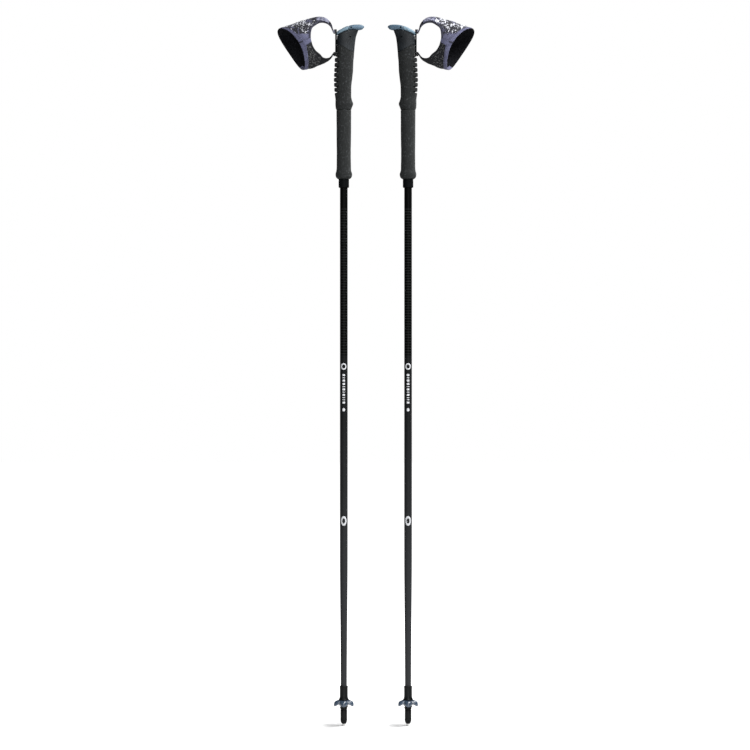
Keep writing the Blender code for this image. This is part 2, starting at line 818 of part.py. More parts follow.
def add_piece(name, bm, material, pole, origin, mirror):
    """Turns a solid in the pole's millimetres into an object with its origin where it belongs."""
    flip = -1 if mirror else 1
    bmesh.ops.translate(bm, verts=bm.verts, vec=-Vector(origin))
    bmesh.ops.scale(bm, verts=bm.verts, vec=(flip * MM, MM, MM))
    bmesh.ops.recalc_face_normals(bm, faces=bm.faces)
    mesh = bpy.data.meshes.new(name)
    bm.to_mesh(mesh)
    bm.free()
    mesh.shade_smooth()
    mesh.set_sharp_from_angle(angle=SMOOTH_ANGLE)
    mesh.materials.append(material)
    piece = bpy.data.objects.new(name, mesh)
    piece.parent = pole
    piece.location = (flip * origin[0] * MM, origin[1] * MM, origin[2] * MM)
    bpy.context.scene.collection.objects.link(piece)


def main():
    for obj in list(bpy.data.objects):
        bpy.data.objects.remove(obj)
    materials = {name: make_material(name) for name in MATERIALS}
    for prefix, side in (("left", -1), ("right", 1)):
        pole = bpy.data.objects.new(prefix + "_pole", None)
        pole.location.x = side * POLE_SPACING / 2 * MM
        bpy.context.scene.collection.objects.link(pole)
        for name, solid, material, origin in PIECES:
            mirror = side > 0 and name not in NOT_MIRRORED
            add_piece(f"{prefix}_{name}", solid(), materials[material], pole, origin, mirror)


main()
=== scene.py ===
import math

import bmesh
import bpy
from mathutils import Matrix, Vector, noise


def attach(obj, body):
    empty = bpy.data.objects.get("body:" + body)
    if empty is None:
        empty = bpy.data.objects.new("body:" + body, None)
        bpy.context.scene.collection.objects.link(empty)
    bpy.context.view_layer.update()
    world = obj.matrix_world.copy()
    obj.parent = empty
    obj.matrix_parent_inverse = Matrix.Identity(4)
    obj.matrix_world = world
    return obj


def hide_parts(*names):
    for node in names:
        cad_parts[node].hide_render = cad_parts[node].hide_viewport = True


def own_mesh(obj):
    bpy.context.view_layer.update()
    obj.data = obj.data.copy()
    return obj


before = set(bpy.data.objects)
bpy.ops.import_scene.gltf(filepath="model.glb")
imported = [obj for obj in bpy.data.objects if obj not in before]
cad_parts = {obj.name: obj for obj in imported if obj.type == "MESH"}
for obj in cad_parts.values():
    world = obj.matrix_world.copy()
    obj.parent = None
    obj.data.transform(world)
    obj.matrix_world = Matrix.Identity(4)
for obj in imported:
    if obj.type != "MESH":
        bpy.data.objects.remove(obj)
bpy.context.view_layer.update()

# The visible pair of trekking poles. Every shape is described once in millimetres in a pole's own
# frame, as the CAD model does: the shaft axis is x = y = 0, the tip is at z = 0 and the horn of the
# cap points to +x. The left pole is built as it is and the right one as its mirror image.

MM = 0.001
HALF_SPACING = 55.0
GAP = 0.3
ROUND = 64
SIDES = (("left", -1), ("right", 1))

SHAFT_PROFILE = ((50.6, 5.2), (160.0, 5.75), (230.0, 6.3), (285.0, 6.55), (1165.0, 6.55))
SHAFT_WALL = 1.1
BORE_RADIUS = 6.85
COLLAR_BOTTOM, COLLAR_TOP = 921.0, 935.7
EXTENSION_BOTTOM, EXTENSION_TOP = 936.0, 1054.0
NOTCHES, NOTCH_PITCH, FIRST_NOTCH, NOTCH_DEPTH = 8, 8.55, 1084.2, 4.0
LEVER_PIN = Vector((12.8, 0.0, 1194.0))
PAWL_PIN = Vector((11.0, 0.0, 1178.0))
PIN_RADIUS, PIN_HOLE = 1.2, 1.4
SLOT_HALF_WIDTH = 4.0
SLOT_FLOOR = 1169.5
BAR_BACK, BAR_FRONT = -14.74, -12.06
POST_ROOT_X = -14.0
SWING_AXIS_X = -16.6
POST_RADIUS, LOOP_RADIUS = 0.8, 1.8
UPPER_LOOP, PALM_LOOP = (1186.4, 1190.2), (1147.9, 1151.7)
MARK_RADIUS, MARK_LIFT = 6.55, 0.06
FOAM_DENTS = (0.18, 9.0)
HEM_COLOUR, HEM_DARK = (0.070, 0.072, 0.122), (0.024, 0.024, 0.041)

GRIP_OUTLINE = (
    (936.0, 10.2, 10.2, 10.2),
    (937.6, 12.4, 12.4, 12.4),
    (940.3, 13.9, 13.9, 13.9),
    (943.7, 14.4, 14.3, 14.3),
    (946.8, 13.8, 13.8, 13.7),
    (949.8, 12.8, 12.8, 12.7),
    (954.5, 12.4, 12.4, 12.3),
    (982.0, 12.0, 12.2, 12.1),
    (1010.0, 12.5, 12.4, 12.3),
    (1054.0, 12.7, 12.7, 12.5),
    (1058.0, 13.9, 14.1, 13.6),
    (1064.4, 16.0, 14.5, 14.2),
    (1071.0, 13.9, 14.4, 13.3),
    (1078.0, 12.8, 15.2, 12.8),
    (1091.7, 12.8, 16.5, 13.0),
    (1105.4, 14.2, 17.0, 13.2),
    (1119.0, 15.7, 16.6, 13.4),
    (1132.8, 16.3, 15.9, 13.4),
    (1144.2, 17.2, 15.4, 13.3),
    (1147.0, 17.4, 12.0, 13.3),
    (1165.0, 18.9, 12.0, 13.2),
    (1176.0, 20.3, 12.0, 13.1),
    (1181.0, 21.4, 12.0, 13.0),
    (1186.0, 23.2, 12.0, 12.9),
    (1192.0, 25.5, 12.0, 12.8),
)
CAP_OUTLINE = (
    (-12.0, 1182.2, 1186.4, 7.6),
    (-11.0, 1182.0, 1188.2, 9.6),
    (-7.9, 1182.8, 1190.2, 11.6),
    (-3.0, 1184.7, 1192.6, 12.8),
    (2.0, 1186.8, 1195.3, 13.2),
    (8.6, 1189.0, 1197.6, 12.9),
    (14.2, 1190.3, 1199.0, 12.0),
    (20.0, 1190.5, 1199.8, 10.6),
    (26.0, 1190.8, 1200.0, 8.4),
    (31.0, 1192.0, 1199.4, 5.6),
    (34.0, 1194.6, 1198.0, 2.6),
)
CAP_SPLIT = 8.6

WRIST_NEAR = Vector((-79.0, -27.0, 1170.0))
WRIST_TOP = Vector((-113.0, 0.0, 1190.5))
WRIST_FAR = Vector((-94.0, 28.1, 1153.0))
WRIST_BOTTOM = Vector((-67.8, 0.0, 1125.0))
FRONT_EDGE = (
    (0, -56.5, -24.0, 1176.5),
    (30, -55.4, -21.5, 1188.0),
    (52, -51.0, -15.5, 1197.0),
    (70, -45.0, -9.0, 1203.0),
    (90, -46.0, 0.0, 1213.2),
    (110, -46.0, 9.0, 1204.0),
    (128, -53.5, 15.5, 1199.0),
    (150, -58.5, 21.5, 1192.0),
    (180, -60.0, 24.0, 1181.0),
    (210, -58.0, 22.0, 1168.0),
    (232, -51.0, 16.0, 1157.0),
    (250, -40.0, 9.0, 1148.0),
    (270, -44.0, 0.0, 1130.5),
    (290, -38.0, -9.0, 1144.5),
    (308, -48.5, -16.0, 1154.0),
    (330, -54.0, -22.0, 1164.0),
    (360, -56.5, -24.0, 1176.5),
)
BAND_BULGE = 2.2
SEAM_NEAR, SEAM_FAR = -12.0, 192.0
STRAP_SPREAD = 19.0
BINDING_WIDTH = 7.0

CAMERA_DISTANCE, CAMERA_HEIGHT, VIEW_HEIGHT = 4.0, 0.6004, 1.284


# ---------------------------------------------------------------- curves and solids


def smooth(value):
    value = min(max(value, 0.0), 1.0)
    return value * value * (3 - 2 * value)


def curve(table, key, column):
    """A column of a table, read as a smooth curve that never overshoots its rows."""
    if key <= table[0][0]:
        return table[0][column]
    if key >= table[-1][0]:
        return table[-1][column]
    slopes = [(b[column] - a[column]) / (b[0] - a[0]) for a, b in zip(table, table[1:])]
    i = max(k for k in range(len(slopes)) if table[k][0] <= key)

    def tangent(k):
        before, after = slopes[max(k - 1, 0)], slopes[min(k, len(slopes) - 1)]
        return 0.0 if before * after <= 0 else 2 * before * after / (before + after)

    width = table[i + 1][0] - table[i][0]
    t = (key - table[i][0]) / width
    return (
        table[i][column] * (2 * t**3 - 3 * t**2 + 1)
        + tangent(i) * width * (t**3 - 2 * t**2 + t)
        + table[i + 1][column] * (3 * t**2 - 2 * t**3)
        + tangent(i + 1) * width * (t**3 - t**2)
    )


def bezier(start, first, second, end, share):
    rest = 1 - share
    return start * rest**3 + 3 * first * rest**2 * share + 3 * second * rest * share**2 + end * share**3


def steps(low, high, count):
    return [low + (high - low) * i / (count - 1) for i in range(count)]


def turn(count, first=0.0):
    """The angles of a full turn in equal steps; first is a part of a step."""
    return [2 * math.pi * (i + first) / count for i in range(count)]


def squared(value, power):
    """A sine or cosine raised to a power with its sign kept, which squares off a circle."""
    return math.copysign(abs(value) ** power, value)


def rounded(points, per_corner=3, bite=0.3):
    """A closed outline of 2-D points with its corners rounded off."""
    result = []
    for i, point in enumerate(points):
        before, after = Vector(points[i - 1]), Vector(points[(i + 1) % len(points)])
        point = Vector(point)
        enter, leave = point.lerp(before, bite), point.lerp(after, bite)
        for t in steps(0.0, 1.0, per_corner):
            result.append(enter * (1 - t) ** 2 + 2 * point * t * (1 - t) + leave * t**2)
    return result


def strip_cap(bm, ring):
    """Closes a ring whose points i and -i mirror each other with quads, so that it may be curved."""
    half = len(ring) // 2
    bm.faces.new((ring[0], ring[1], ring[-1]))
    bm.faces.new((ring[half], ring[half + 1], ring[half - 1]))
    for i in range(1, half - 1):
        bm.faces.new((ring[i], ring[i + 1], ring[-i - 1], ring[-i]))


def loft(rings, cyclic=False, curved_ends=False):
    bm = bmesh.new()
    loops = [[bm.verts.new(point) for point in ring] for ring in rings]
    following = loops[1:] + loops[:1] if cyclic else loops[1:]
    for low, high in zip(loops, following):
        for i in range(len(low)):
            j = (i + 1) % len(low)
            bm.faces.new((low[i], low[j], high[j], high[i]))
    for ring in () if cyclic else (loops[0], loops[-1]):
        if curved_ends:
            strip_cap(bm, ring)
        else:
            bm.faces.new(ring)
    bmesh.ops.recalc_face_normals(bm, faces=bm.faces)
    return bm


def turned(profile, count=ROUND):
    bm = bmesh.new()
    points = [bm.verts.new((radius, 0, z)) for radius, z in profile]
    edges = [bm.edges.new(pair) for pair in zip(points, points[1:])]
    if profile[0][0] > 0:
        edges.append(bm.edges.new((points[-1], points[0])))
    full = 2 * math.pi
    bmesh.ops.spin(bm, geom=points + edges, cent=(0, 0, 0), axis=(0, 0, 1), angle=full, steps=count)
    bmesh.ops.remove_doubles(bm, verts=bm.verts, dist=0.0005)
    bmesh.ops.recalc_face_normals(bm, faces=bm.faces)
    return bm


def moved(bm, offset):
    bmesh.ops.translate(bm, verts=bm.verts, vec=offset)
    return bm


def block(low, high):
    bm = bmesh.new()
    centre = (Vector(low) + Vector(high)) / 2
    size = Vector(high) - Vector(low)
    bmesh.ops.create_cube(bm, size=1, matrix=Matrix.Translation(centre) @ Matrix.Diagonal(size.to_4d()))
    return bm


def plate(outline, half_width):
    return loft([[(x, y, z) for x, z in outline] for y in (-half_width, half_width)])


def cross_pin(centre, radius, half_length, count=32):
    bm = bmesh.new()
    place = Matrix.Translation(centre) @ Matrix.Rotation(math.pi / 2, 4, "X")
    bmesh.ops.create_cone(
        bm, cap_ends=True, segments=count, radius1=radius, radius2=radius, depth=2 * half_length, matrix=place
    )
    return bm


def combined(bm, other, operation):
    objects = []
    for solid in (bm, other):
        mesh = bpy.data.meshes.new("boolean")
        solid.to_mesh(mesh)
        solid.free()
        objects.append(bpy.data.objects.new("boolean", mesh))
        bpy.context.scene.collection.objects.link(objects[-1])
    modifier = objects[0].modifiers.new("boolean", "BOOLEAN")
    modifier.operation = operation
    modifier.solver = "EXACT"
    modifier.object = objects[1]
    evaluated = objects[0].evaluated_get(bpy.context.evaluated_depsgraph_get())
    result = bmesh.new()
    result.from_mesh(evaluated.to_mesh())
    evaluated.to_mesh_clear()
    for obj in objects:
        bpy.data.objects.remove(obj)
    return result


def cut(bm, *cutters):
    for cutter in cutters:
        bm = combined(bm, cutter, "DIFFERENCE")
    return bm


def joined(bm, *others):
    for other in others:
        bm = combined(bm, other, "UNION")
    return bm


def together(*solids):
    """Several solids as one mesh, without a Boolean."""
    result = bmesh.new()
    for solid in solids:
        mesh = bpy.data.meshes.new("part")
        solid.to_mesh(mesh)
        solid.free()
        result.from_mesh(mesh)
        bpy.data.meshes.remove(mesh)
    return result


# ---------------------------------------------------------------- materials


class Nodes:
    """A short way to write a material's node tree."""

    def __init__(self, name, colour, roughness, metallic=0.0, specular=0.5):
        self.material = bpy.data.materials.new(name)
        self.material.use_nodes = True
        self.tree = self.material.node_tree
        self.shader = self.tree.nodes["Principled BSDF"]
        self.shader.inputs["Base Color"].default_value = (*colour, 1)
        self.shader.inputs["Roughness"].default_value = roughness
        self.shader.inputs["Metallic"].default_value = metallic
        self.shader.inputs["Specular IOR Level"].default_value = specular
        self.coordinates = self.tree.nodes.new("ShaderNodeTexCoord").outputs["Object"]
        self.material.diffuse_color = (*colour, 1)

    def put(self, socket, value):
        if hasattr(value, "is_output"):
            self.tree.links.new(value, socket)
        elif value is not None:
            socket.default_value = value

    def add(self, kind, output=0, inputs=(), **settings):
        node = self.tree.nodes.new("ShaderNode" + kind)
        for key, value in settings.items():
            setattr(node, key, value)
        for key, value in dict(inputs).items():
            self.put(node.inputs[key], value)
        return node.outputs[output]

    def maths(self, operation, first, second=0.5):
        return self.add("Math", inputs=((0, first), (1, second)), operation=operation)

    def scaled(self, x, y, z, source=None):
        """The coordinates stretched along each axis; 1000 makes a unit of a millimetre."""
        inputs = (("Vector", source or self.coordinates), ("Scale", (x, y, z)))
        return self.add("Mapping", inputs=inputs)

    def noise(self, scale, detail=2.0, roughness=0.5, distortion=0.0, source=None):
        inputs = (
            ("Vector", source or self.coordinates),
            ("Scale", scale),
            ("Detail", detail),
            ("Roughness", roughness),
            ("Distortion", distortion),
        )
        return self.add("TexNoise", inputs=inputs)

    def cells(self, scale, feature="F1", source=None, randomness=1.0):
        inputs = (("Vector", source or self.coordinates), ("Scale", scale), ("Randomness", randomness))
        return self.add("TexVoronoi", inputs=inputs, feature=feature)

    def band(self, value, low, high, to_low=0.0, to_high=1.0):
        inputs = ((0, value), (1, low), (2, high), (3, to_low), (4, to_high))
        return self.add("MapRange", inputs=inputs, interpolation_type="SMOOTHSTEP")

    def mix(self, share, first, second):
        ends = [end if hasattr(end, "is_output") else (*end, 1) for end in (first, second)]
        return self.add("Mix", 2, ((0, share), (6, ends[0]), (7, ends[1])), data_type="RGBA")

    def split(self, source=None):
        node = self.tree.nodes.new("ShaderNodeSeparateXYZ")
        self.put(node.inputs[0], source or self.coordinates)
        return node.outputs

    def height(self):
        return self.split()["Z"]

    def level(self, socket, weight, roughness):
        """Sets the weight and the roughness of the shader's coat or sheen."""
        self.shader.inputs[f"{socket} Weight"].default_value = weight
        self.shader.inputs[f"{socket} Roughness"].default_value = roughness

    def colour(self, value):
        self.put(self.shader.inputs["Base Color"], value)

    def roughness(self, value):
        self.put(self.shader.inputs["Roughness"], value)

    def bump(self, value, distance, strength=1.0):
        """Adds a bump on top of those already there."""
        normal = self.shader.inputs["Normal"]
        before = normal.links[0].from_socket if normal.links else None
        inputs = (("Strength", strength), ("Distance", distance), ("Height", value), ("Normal", before))
        self.put(normal, self.add("Bump", inputs=inputs))


def toned(colour, tone):
    return tuple(channel * tone for channel in colour)


def carbon_material():
    """Gloss black with fine light rings, fading to a satin dark grey tube below them."""
    m = Nodes("carbon", (0.004, 0.0042, 0.0042), 0.3, specular=0.03)
    z = m.height()
    wobble = m.maths("MULTIPLY", m.noise(60.0), 0.0006)
    pitch = m.maths("FRACT", m.maths("DIVIDE", m.maths("ADD", z, wobble), 0.00457))
    ring = m.maths("SUBTRACT", m.band(pitch, 0.28, 0.42), m.band(pitch, 0.58, 0.72))
    inside = m.maths("MULTIPLY", m.band(z, 0.626, 0.640), m.maths("LESS_THAN", z, 0.886))
    patchy = m.band(m.noise(700.0, 3.0, source=m.scaled(1, 1, 0.25)), 0.35, 0.65, 0.45, 1.0)
    upper = m.mix(m.maths("MULTIPLY", ring, patchy), (0.0006, 0.0008, 0.0007), (0.0160, 0.0172, 0.0172))
    plain = m.mix(m.band(z, 0.90, 0.62), (0.0010, 0.0012, 0.0011), (0.0048, 0.0054, 0.0058))
    lower = m.mix(m.band(z, 0.62, 0.07), (0.0060, 0.0066, 0.0070), (0.0270, 0.0280, 0.0300))
    base = m.mix(m.maths("LESS_THAN", z, 0.63), plain, lower)
    fibres = m.noise(900.0, 3.0, 0.6, source=m.scaled(1, 1, 0.02))
    grained = m.mix(m.band(fibres, 0.3, 0.7, 0.0, 0.12), base, (0.03, 0.032, 0.034))
    m.colour(m.mix(inside, m.mix(m.band(z, 0.64, 0.9, 1.0, 0.25), base, grained), upper))
    m.roughness(m.band(z, 0.60, 0.66, 0.5, 0.4))
    m.bump(m.maths("MULTIPLY", ring, inside), 0.00006, 0.5)
    m.bump(fibres, 0.00002, 0.4)
    m.level("Coat", 0.01, 0.25)
    return m.material


def foam_material(name, tone):
    """Closed-cell foam: a matt dark grey with small pits and lighter flecks."""
    m = Nodes(name, toned((0.012, 0.013, 0.013), tone), 0.92, specular=0.16)
    cells = m.cells(900.0)
    fine = m.noise(1500.0, 3.0, 0.65)
    broad = m.noise(160.0, 4.0, 0.6)
    dark, light = toned((0.0062, 0.0072, 0.0072), tone), toned((0.0190, 0.0205, 0.0205), tone)
    grain = m.mix(m.band(fine, 0.34, 0.66), dark, light)
    shaded = m.mix(m.band(broad, 0.35, 0.7, 0.0, 0.5), grain, toned((0.016, 0.0175, 0.018), tone))
    flecks = m.maths("MULTIPLY", m.band(m.noise(330.0, 3.0, 0.7), 0.55, 0.68), 0.55)
    m.colour(m.mix(flecks, shaded, (0.062, 0.066, 0.070)))
    m.roughness(m.band(fine, 0.3, 0.7, 0.82, 0.97))
    m.bump(m.band(cells, 0.1, 0.6), 0.00022, 0.55)
    m.bump(broad, 0.0004, 0.3)
    m.level("Sheen", 0.02, 0.6)
    return m.material


def plastic_material(name, colour, roughness, light=1.35, grain=0.00006, coat=0.0, specular=0.16):
    """Moulded plastic: a fine spark-eroded grain with slight flow marks, rubbed smoother in places."""
    m = Nodes(name, colour, roughness, specular=specular)
    brighter = toned(colour, light)
    flow = m.noise(45.0, 3.0, 0.55)
    fine = m.noise(2600.0, 2.0, 0.6)
    worn = m.noise(120.0, 4.0, 0.65)
    tinted = m.mix(m.band(flow, 0.35, 0.68, 0.0, 0.6), colour, brighter)
    m.colour(m.mix(m.band(fine, 0.45, 0.75, 0.0, 0.25), tinted, brighter))
    m.roughness(m.band(worn, 0.3, 0.7, roughness - 0.07, roughness + 0.1))
    m.bump(fine, grain, 0.5)
    m.level("Coat", coat, 0.2)
    return m.material


def metal_material(name, colour, roughness):
    m = Nodes(name, colour, roughness, metallic=1.0)
    lines = m.noise(1800.0, 2.0, 0.5, source=m.scaled(1, 1, 0.08))
    stains = m.noise(350.0, 4.0, 0.6)
    m.colour(m.mix(m.band(stains, 0.4, 0.75, 0.0, 0.7), colour, toned(colour, 0.6)))
    m.roughness(m.band(lines, 0.3, 0.7, roughness - 0.06, roughness + 0.14))
    m.bump(lines, 0.00002, 0.4)
    return m.material


def weave(m, pitch, depth):
    """A plain weave on every side of a piece, as two crossed ripples."""
    grid = m.split(m.scaled(math.pi / pitch, math.pi / pitch, math.pi / pitch))
    slant = m.maths("MULTIPLY", grid["Y"], 0.7)
    along, across = (m.maths("SINE", m.maths("ADD", grid[axis], slant)) for axis in "XZ")
    threads = m.maths("MULTIPLY", along, across)
    m.bump(threads, depth, 0.6)
    return m.band(threads, -1.0, 1.0)


def cloth(m):
    m.level("Sheen", 0.06, 0.5)
    return m.material


def hem_material(name="hem_fabric", tone=1.0):
    m = Nodes(name, HEM_COLOUR, 0.85, specular=0.25)
    threads = weave(m, 0.00055, 0.00010)
    soft = m.noise(140.0, 4.0, 0.6)
    light, dark = toned(HEM_COLOUR, tone), toned(HEM_DARK, tone)
    base = m.mix(m.band(soft, 0.3, 0.7, 0.0, 0.45), light, dark)
    m.colour(m.mix(m.maths("MULTIPLY", threads, 0.35), base, toned(light, 1.7)))
    m.roughness(m.band(soft, 0.3, 0.7, 0.78, 0.95))
    m.bump(soft, 0.0003, 0.3)
    return cloth(m)


def printed_material():
    """Black and purple-grey fabric with a brushed print of white strokes, densest near the strap."""
    m = Nodes("printed_fabric", (0.1, 0.1, 0.14), 0.85, specular=0.15)
    threads = weave(m, 0.0005, 0.00008)
    strokes = m.noise(120.0, 5.0, 0.62, 1.4, source=m.scaled(1.3, 0.8, 0.5))
    patches = m.noise(80.0, 4.0, 0.6, 0.9, source=m.scaled(0.8, 1.0, 0.6))
    streaks = m.noise(300.0, 3.0, 0.6, 2.2, source=m.scaled(1.2, 0.6, 0.4))
    ground = m.mix(m.band(patches, 0.53, 0.58), (0.0045, 0.0045, 0.006), toned(HEM_COLOUR, 0.8))
    high = m.band(m.height(), 1.184, 1.199, -0.045, 0.02)
    denser = m.maths("ADD", strokes, high)
    painted = m.mix(m.band(denser, 0.535, 0.57), ground, (0.50, 0.51, 0.55))
    printed = m.mix(m.band(streaks, 0.52, 0.56, 0.0, 0.9), painted, (0.004, 0.004, 0.006))
    edge = m.maths("ADD", m.height(), m.maths("MULTIPLY", m.noise(110.0, 3.0), 0.022))
    base = m.mix(m.band(edge, 1.1880, 1.1925), HEM_COLOUR, printed)
    m.colour(m.mix(m.maths("MULTIPLY", threads, 0.12), base, (0.16, 0.16, 0.2)))
    m.bump(m.noise(220.0, 3.0), 0.0003, 0.25)
    return cloth(m)


def strap_material():
    """The webbing of the upper strap: purple-grey flecked with the same print."""
    m = Nodes("strap_webbing", (0.1, 0.1, 0.14), 0.85, specular=0.25)
    threads = weave(m, 0.0006, 0.00012)
    strokes = m.noise(260.0, 4.0, 0.65, 1.2)
    dark = m.noise(210.0, 3.0, 0.6, 0.8)
    ground = m.mix(m.band(dark, 0.50, 0.56), HEM_COLOUR, (0.012, 0.012, 0.020))
    printed = m.mix(m.band(strokes, 0.52, 0.57, 0.0, 0.7), ground, (0.34, 0.35, 0.43))
    m.colour(m.mix(m.maths("MULTIPLY", threads, 0.2), printed, (0.2, 0.2, 0.26)))
    return cloth(m)


def mesh_material(name="palm_mesh", flecked=True):
    """Black open mesh, with small light flecks of grip print."""
    m = Nodes(name, (0.006, 0.0065, 0.0075), 0.85, specular=0.12)
    holes = m.cells(720.0, "SMOOTH_F1", randomness=0.25)
    net = m.band(holes, 0.22, 0.40)
    base = m.mix(net, (0.0020, 0.0020, 0.0026), (0.0088, 0.0092, 0.0110))
    if flecked:
        flecks = m.band(m.cells(430.0, source=m.scaled(0.9, 0.7, 1.2)), 0.40, 0.28)
        sparse = m.band(m.noise(120.0, 3.0, 0.6, 1.0), 0.36, 0.46)
        base = m.mix(m.maths("MULTIPLY", flecks, sparse), base, (0.085, 0.086, 0.086))
    m.colour(base)
    m.bump(net, 0.0002, 0.7)
    m.bump(m.noise(150.0, 3.0), 0.0004, 0.3)
    return cloth(m)


def lining_material():
    """The brushed black inner face of the strap."""
    m = Nodes("black_lining", (0.0022, 0.0022, 0.003), 0.95, specular=0.08)
    soft = m.noise(260.0, 4.0, 0.65)
    m.colour(m.mix(m.band(soft, 0.35, 0.7), (0.0016, 0.0016, 0.0022), (0.0045, 0.0045, 0.0062)))
    m.bump(soft, 0.0002, 0.4)
    m.bump(m.noise(2200.0, 2.0), 0.00008, 0.5)
    return m.material


def paint_material():
    m = Nodes("white_paint", (0.72, 0.73, 0.75), 0.45)
    rub = m.noise(900.0, 4.0, 0.7)
    m.colour(m.mix(m.band(rub, 0.55, 0.75, 0.0, 0.5), (0.48, 0.49, 0.51), (0.26, 0.27, 0.28)))
    m.roughness(m.band(rub, 0.3, 0.7, 0.35, 0.55))
    return m.material


# Each material with the record's slot that it belongs to.
MATERIALS = {
    "carbon": (carbon_material(), "carbon_shaft"),
    "foam": (foam_material("upper_foam", 0.72), "grip_foam"),
    "extension_foam": (foam_material("extension_foam", 0.88), "grip_foam"),
    "head": (
        plastic_material("head_plastic", (0.0064, 0.0078, 0.0092), 0.5, 2.4, grain=0.0003),
        "head_plastic",
    ),
    "black": (
        plastic_material("black_plastic", (0.0018, 0.0023, 0.0026), 0.55, 1.5, specular=0.03),
        "black_plastic",
    ),
    "ferrule": (
        plastic_material("ferrule_plastic", (0.0020, 0.0025, 0.0028), 0.42, 1.4, 0.00012, specular=0.14),
        "black_plastic",
    ),
    "horn": (plastic_material("horn_plastic", (0.062, 0.098, 0.134), 0.42, 1.25), "blue_plastic"),
    "lever": (plastic_material("lever_plastic", (0.115, 0.170, 0.212), 0.45, 1.2), "lever_plastic"),
    "basket": (
        plastic_material("basket_plastic", (0.024, 0.038, 0.060), 0.28, 2.0, coat=0.1, specular=0.7),
        "blue_plastic",
    ),
    "steel": (metal_material("steel", (0.05, 0.05, 0.053), 0.42), "steel"),
    "carbide": (metal_material("carbide", (0.62, 0.62, 0.61), 0.3), "carbide"),
    "hem": (hem_material(), "hem_fabric"),
    "dark_hem": (hem_material("dark_hem_fabric", 0.28), "hem_fabric"),
    "printed": (printed_material(), "printed_fabric"),
    "strap": (strap_material(), "printed_fabric"),
    "mesh": (mesh_material(), "palm_mesh"),
    "palm_strap": (mesh_material("palm_strap_fabric", False), "palm_mesh"),
    "lining": (lining_material(), "palm_mesh"),
    "paint": (paint_material(), "carbon_shaft"),
}


def on_body(name, mesh, body, slot, side, node):
    """An object of a mesh in the world's place, on a body of one pole."""
    prefix = side[0]
    piece = bpy.data.objects.new(f"{prefix}_{name}", mesh)
    bpy.context.scene.collection.objects.link(piece)
    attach(piece, f"{prefix}_{body}")
    if node:
        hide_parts(f"{prefix}_{node}")
    return piece


def add_piece(name, bm, body, materials, side, node=None, mirror=True, sharp=40.0):
    """Turns a solid in a pole's millimetres into a piece that rides on a body of that pole."""
    sign = side[1]
    flip = -sign if mirror else 1
    materials = (materials,) if isinstance(materials, str) else materials
    for vertex in bm.verts:
        x, y, z = vertex.co
        vertex.co = ((sign * HALF_SPACING + flip * x) * MM, y * MM, z * MM)
    if flip < 0:
        bmesh.ops.reverse_faces(bm, faces=bm.faces)
    mesh = bpy.data.meshes.new(name)
    bm.to_mesh(mesh)
    bm.free()
    mesh.shade_smooth()
    mesh.set_sharp_from_angle(angle=math.radians(sharp))
    for material in materials:
        mesh.materials.append(MATERIALS[material][0])
    return on_body(name, mesh, body, MATERIALS[materials[0]][1], side, node)


def hidden_piece(node, body, side):
    """A small steel part inside the head, in its CAD shape."""
    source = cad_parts[f"{side[0]}_{node}"]
    mesh = source.data.copy()
    mesh.transform(source.matrix_world)
    mesh.materials.clear()
    steel, slot = MATERIALS["steel"]
    mesh.materials.append(steel)
    return on_body(f"{node}_part", mesh, body, slot, side, node)


# ---------------------------------------------------------------- shaft and foot


def shaft_radius(z):
    return curve(SHAFT_PROFILE, z, 1)


def shaft():
    heights = [50.6] + steps(60.0, 290.0, 24) + steps(320.0, 1165.0, 20)
    outer = [(shaft_radius(z), z) for z in heights]
    inner = [(shaft_radius(z) - SHAFT_WALL, z) for z in (1165.0, 285.0, 50.6)]
    return turned(outer + inner)


def on_shaft(across, up, out, centre):
    """A point of a painted mark, bent round the front of the shaft."""
    angle = -math.pi / 2 + across / MARK_RADIUS
    reach = MARK_RADIUS + out
    return Vector((reach * math.cos(angle), reach * math.sin(angle), centre + up))


def ring_mark(wide, tall, hole_wide, hole_tall, centre, count=40):
    rings = []
    for angle in turn(count):
        x, z = math.sin(angle), math.cos(angle)
        outside = (wide * x, tall * z)
        inside = (hole_wide * x, hole_tall * z)
        halfway = ((outside[0] + inside[0]) / 2, (outside[1] + inside[1]) / 2)
        top = [on_shaft(*at, MARK_LIFT, centre) for at in (outside, halfway, inside)]
        rings.append(top + [on_shaft(*at, 0.0, centre) for at in (inside, halfway, outside)])
    return loft(rings, cyclic=True)


def solid_mark(wide, tall, centre, power):
    """A painted bar, or a dot where power is 2, in short steps round the shaft."""
    rings = []
    for x in steps(-0.97 * wide, 0.97 * wide, 14):
        half = tall * (1 - abs(x / wide) ** power) ** (1 / power)
        corners = ((x, -half, 0.0), (x, half, 0.0), (x, half, MARK_LIFT), (x, -half, MARK_LIFT))
        rings.append([on_shaft(*corner, centre) for corner in corners])
    return loft(rings)


def shaft_marks():
    """Plain white marks: a ring, a ladder of bars, a dot and an oval ring."""
    marks = [ring_mark(5.0, 5.6, 2.9, 3.4, 615.0)]
    height = 602.0
    for length in (1.7, 0.7, 1.7, 1.7, 0.7, 1.7, 0.7, 1.7, 0.7, 0.7, 1.7):
        marks.append(solid_mark(2.3, length, height - length, 6.0))
        height -= 2 * length + 2.3
    marks.append(solid_mark(2.3, 2.9, 541.0, 2.0))
    marks.append(ring_mark(5.2, 8.2, 2.5, 4.6, 351.0))
    return together(*marks)


def carbide_tip():
    profile = ((0, 0.25), (0.9, 0.1), (1.5, 0), (1.95, 0.25), (2.3, 0.8), (2.52, 1.5), (2.6, 2.2), (2.6, 3.5))
    return turned(profile + ((2.05, 3.5), (2.05, 11.7), (0, 11.7)), 40)


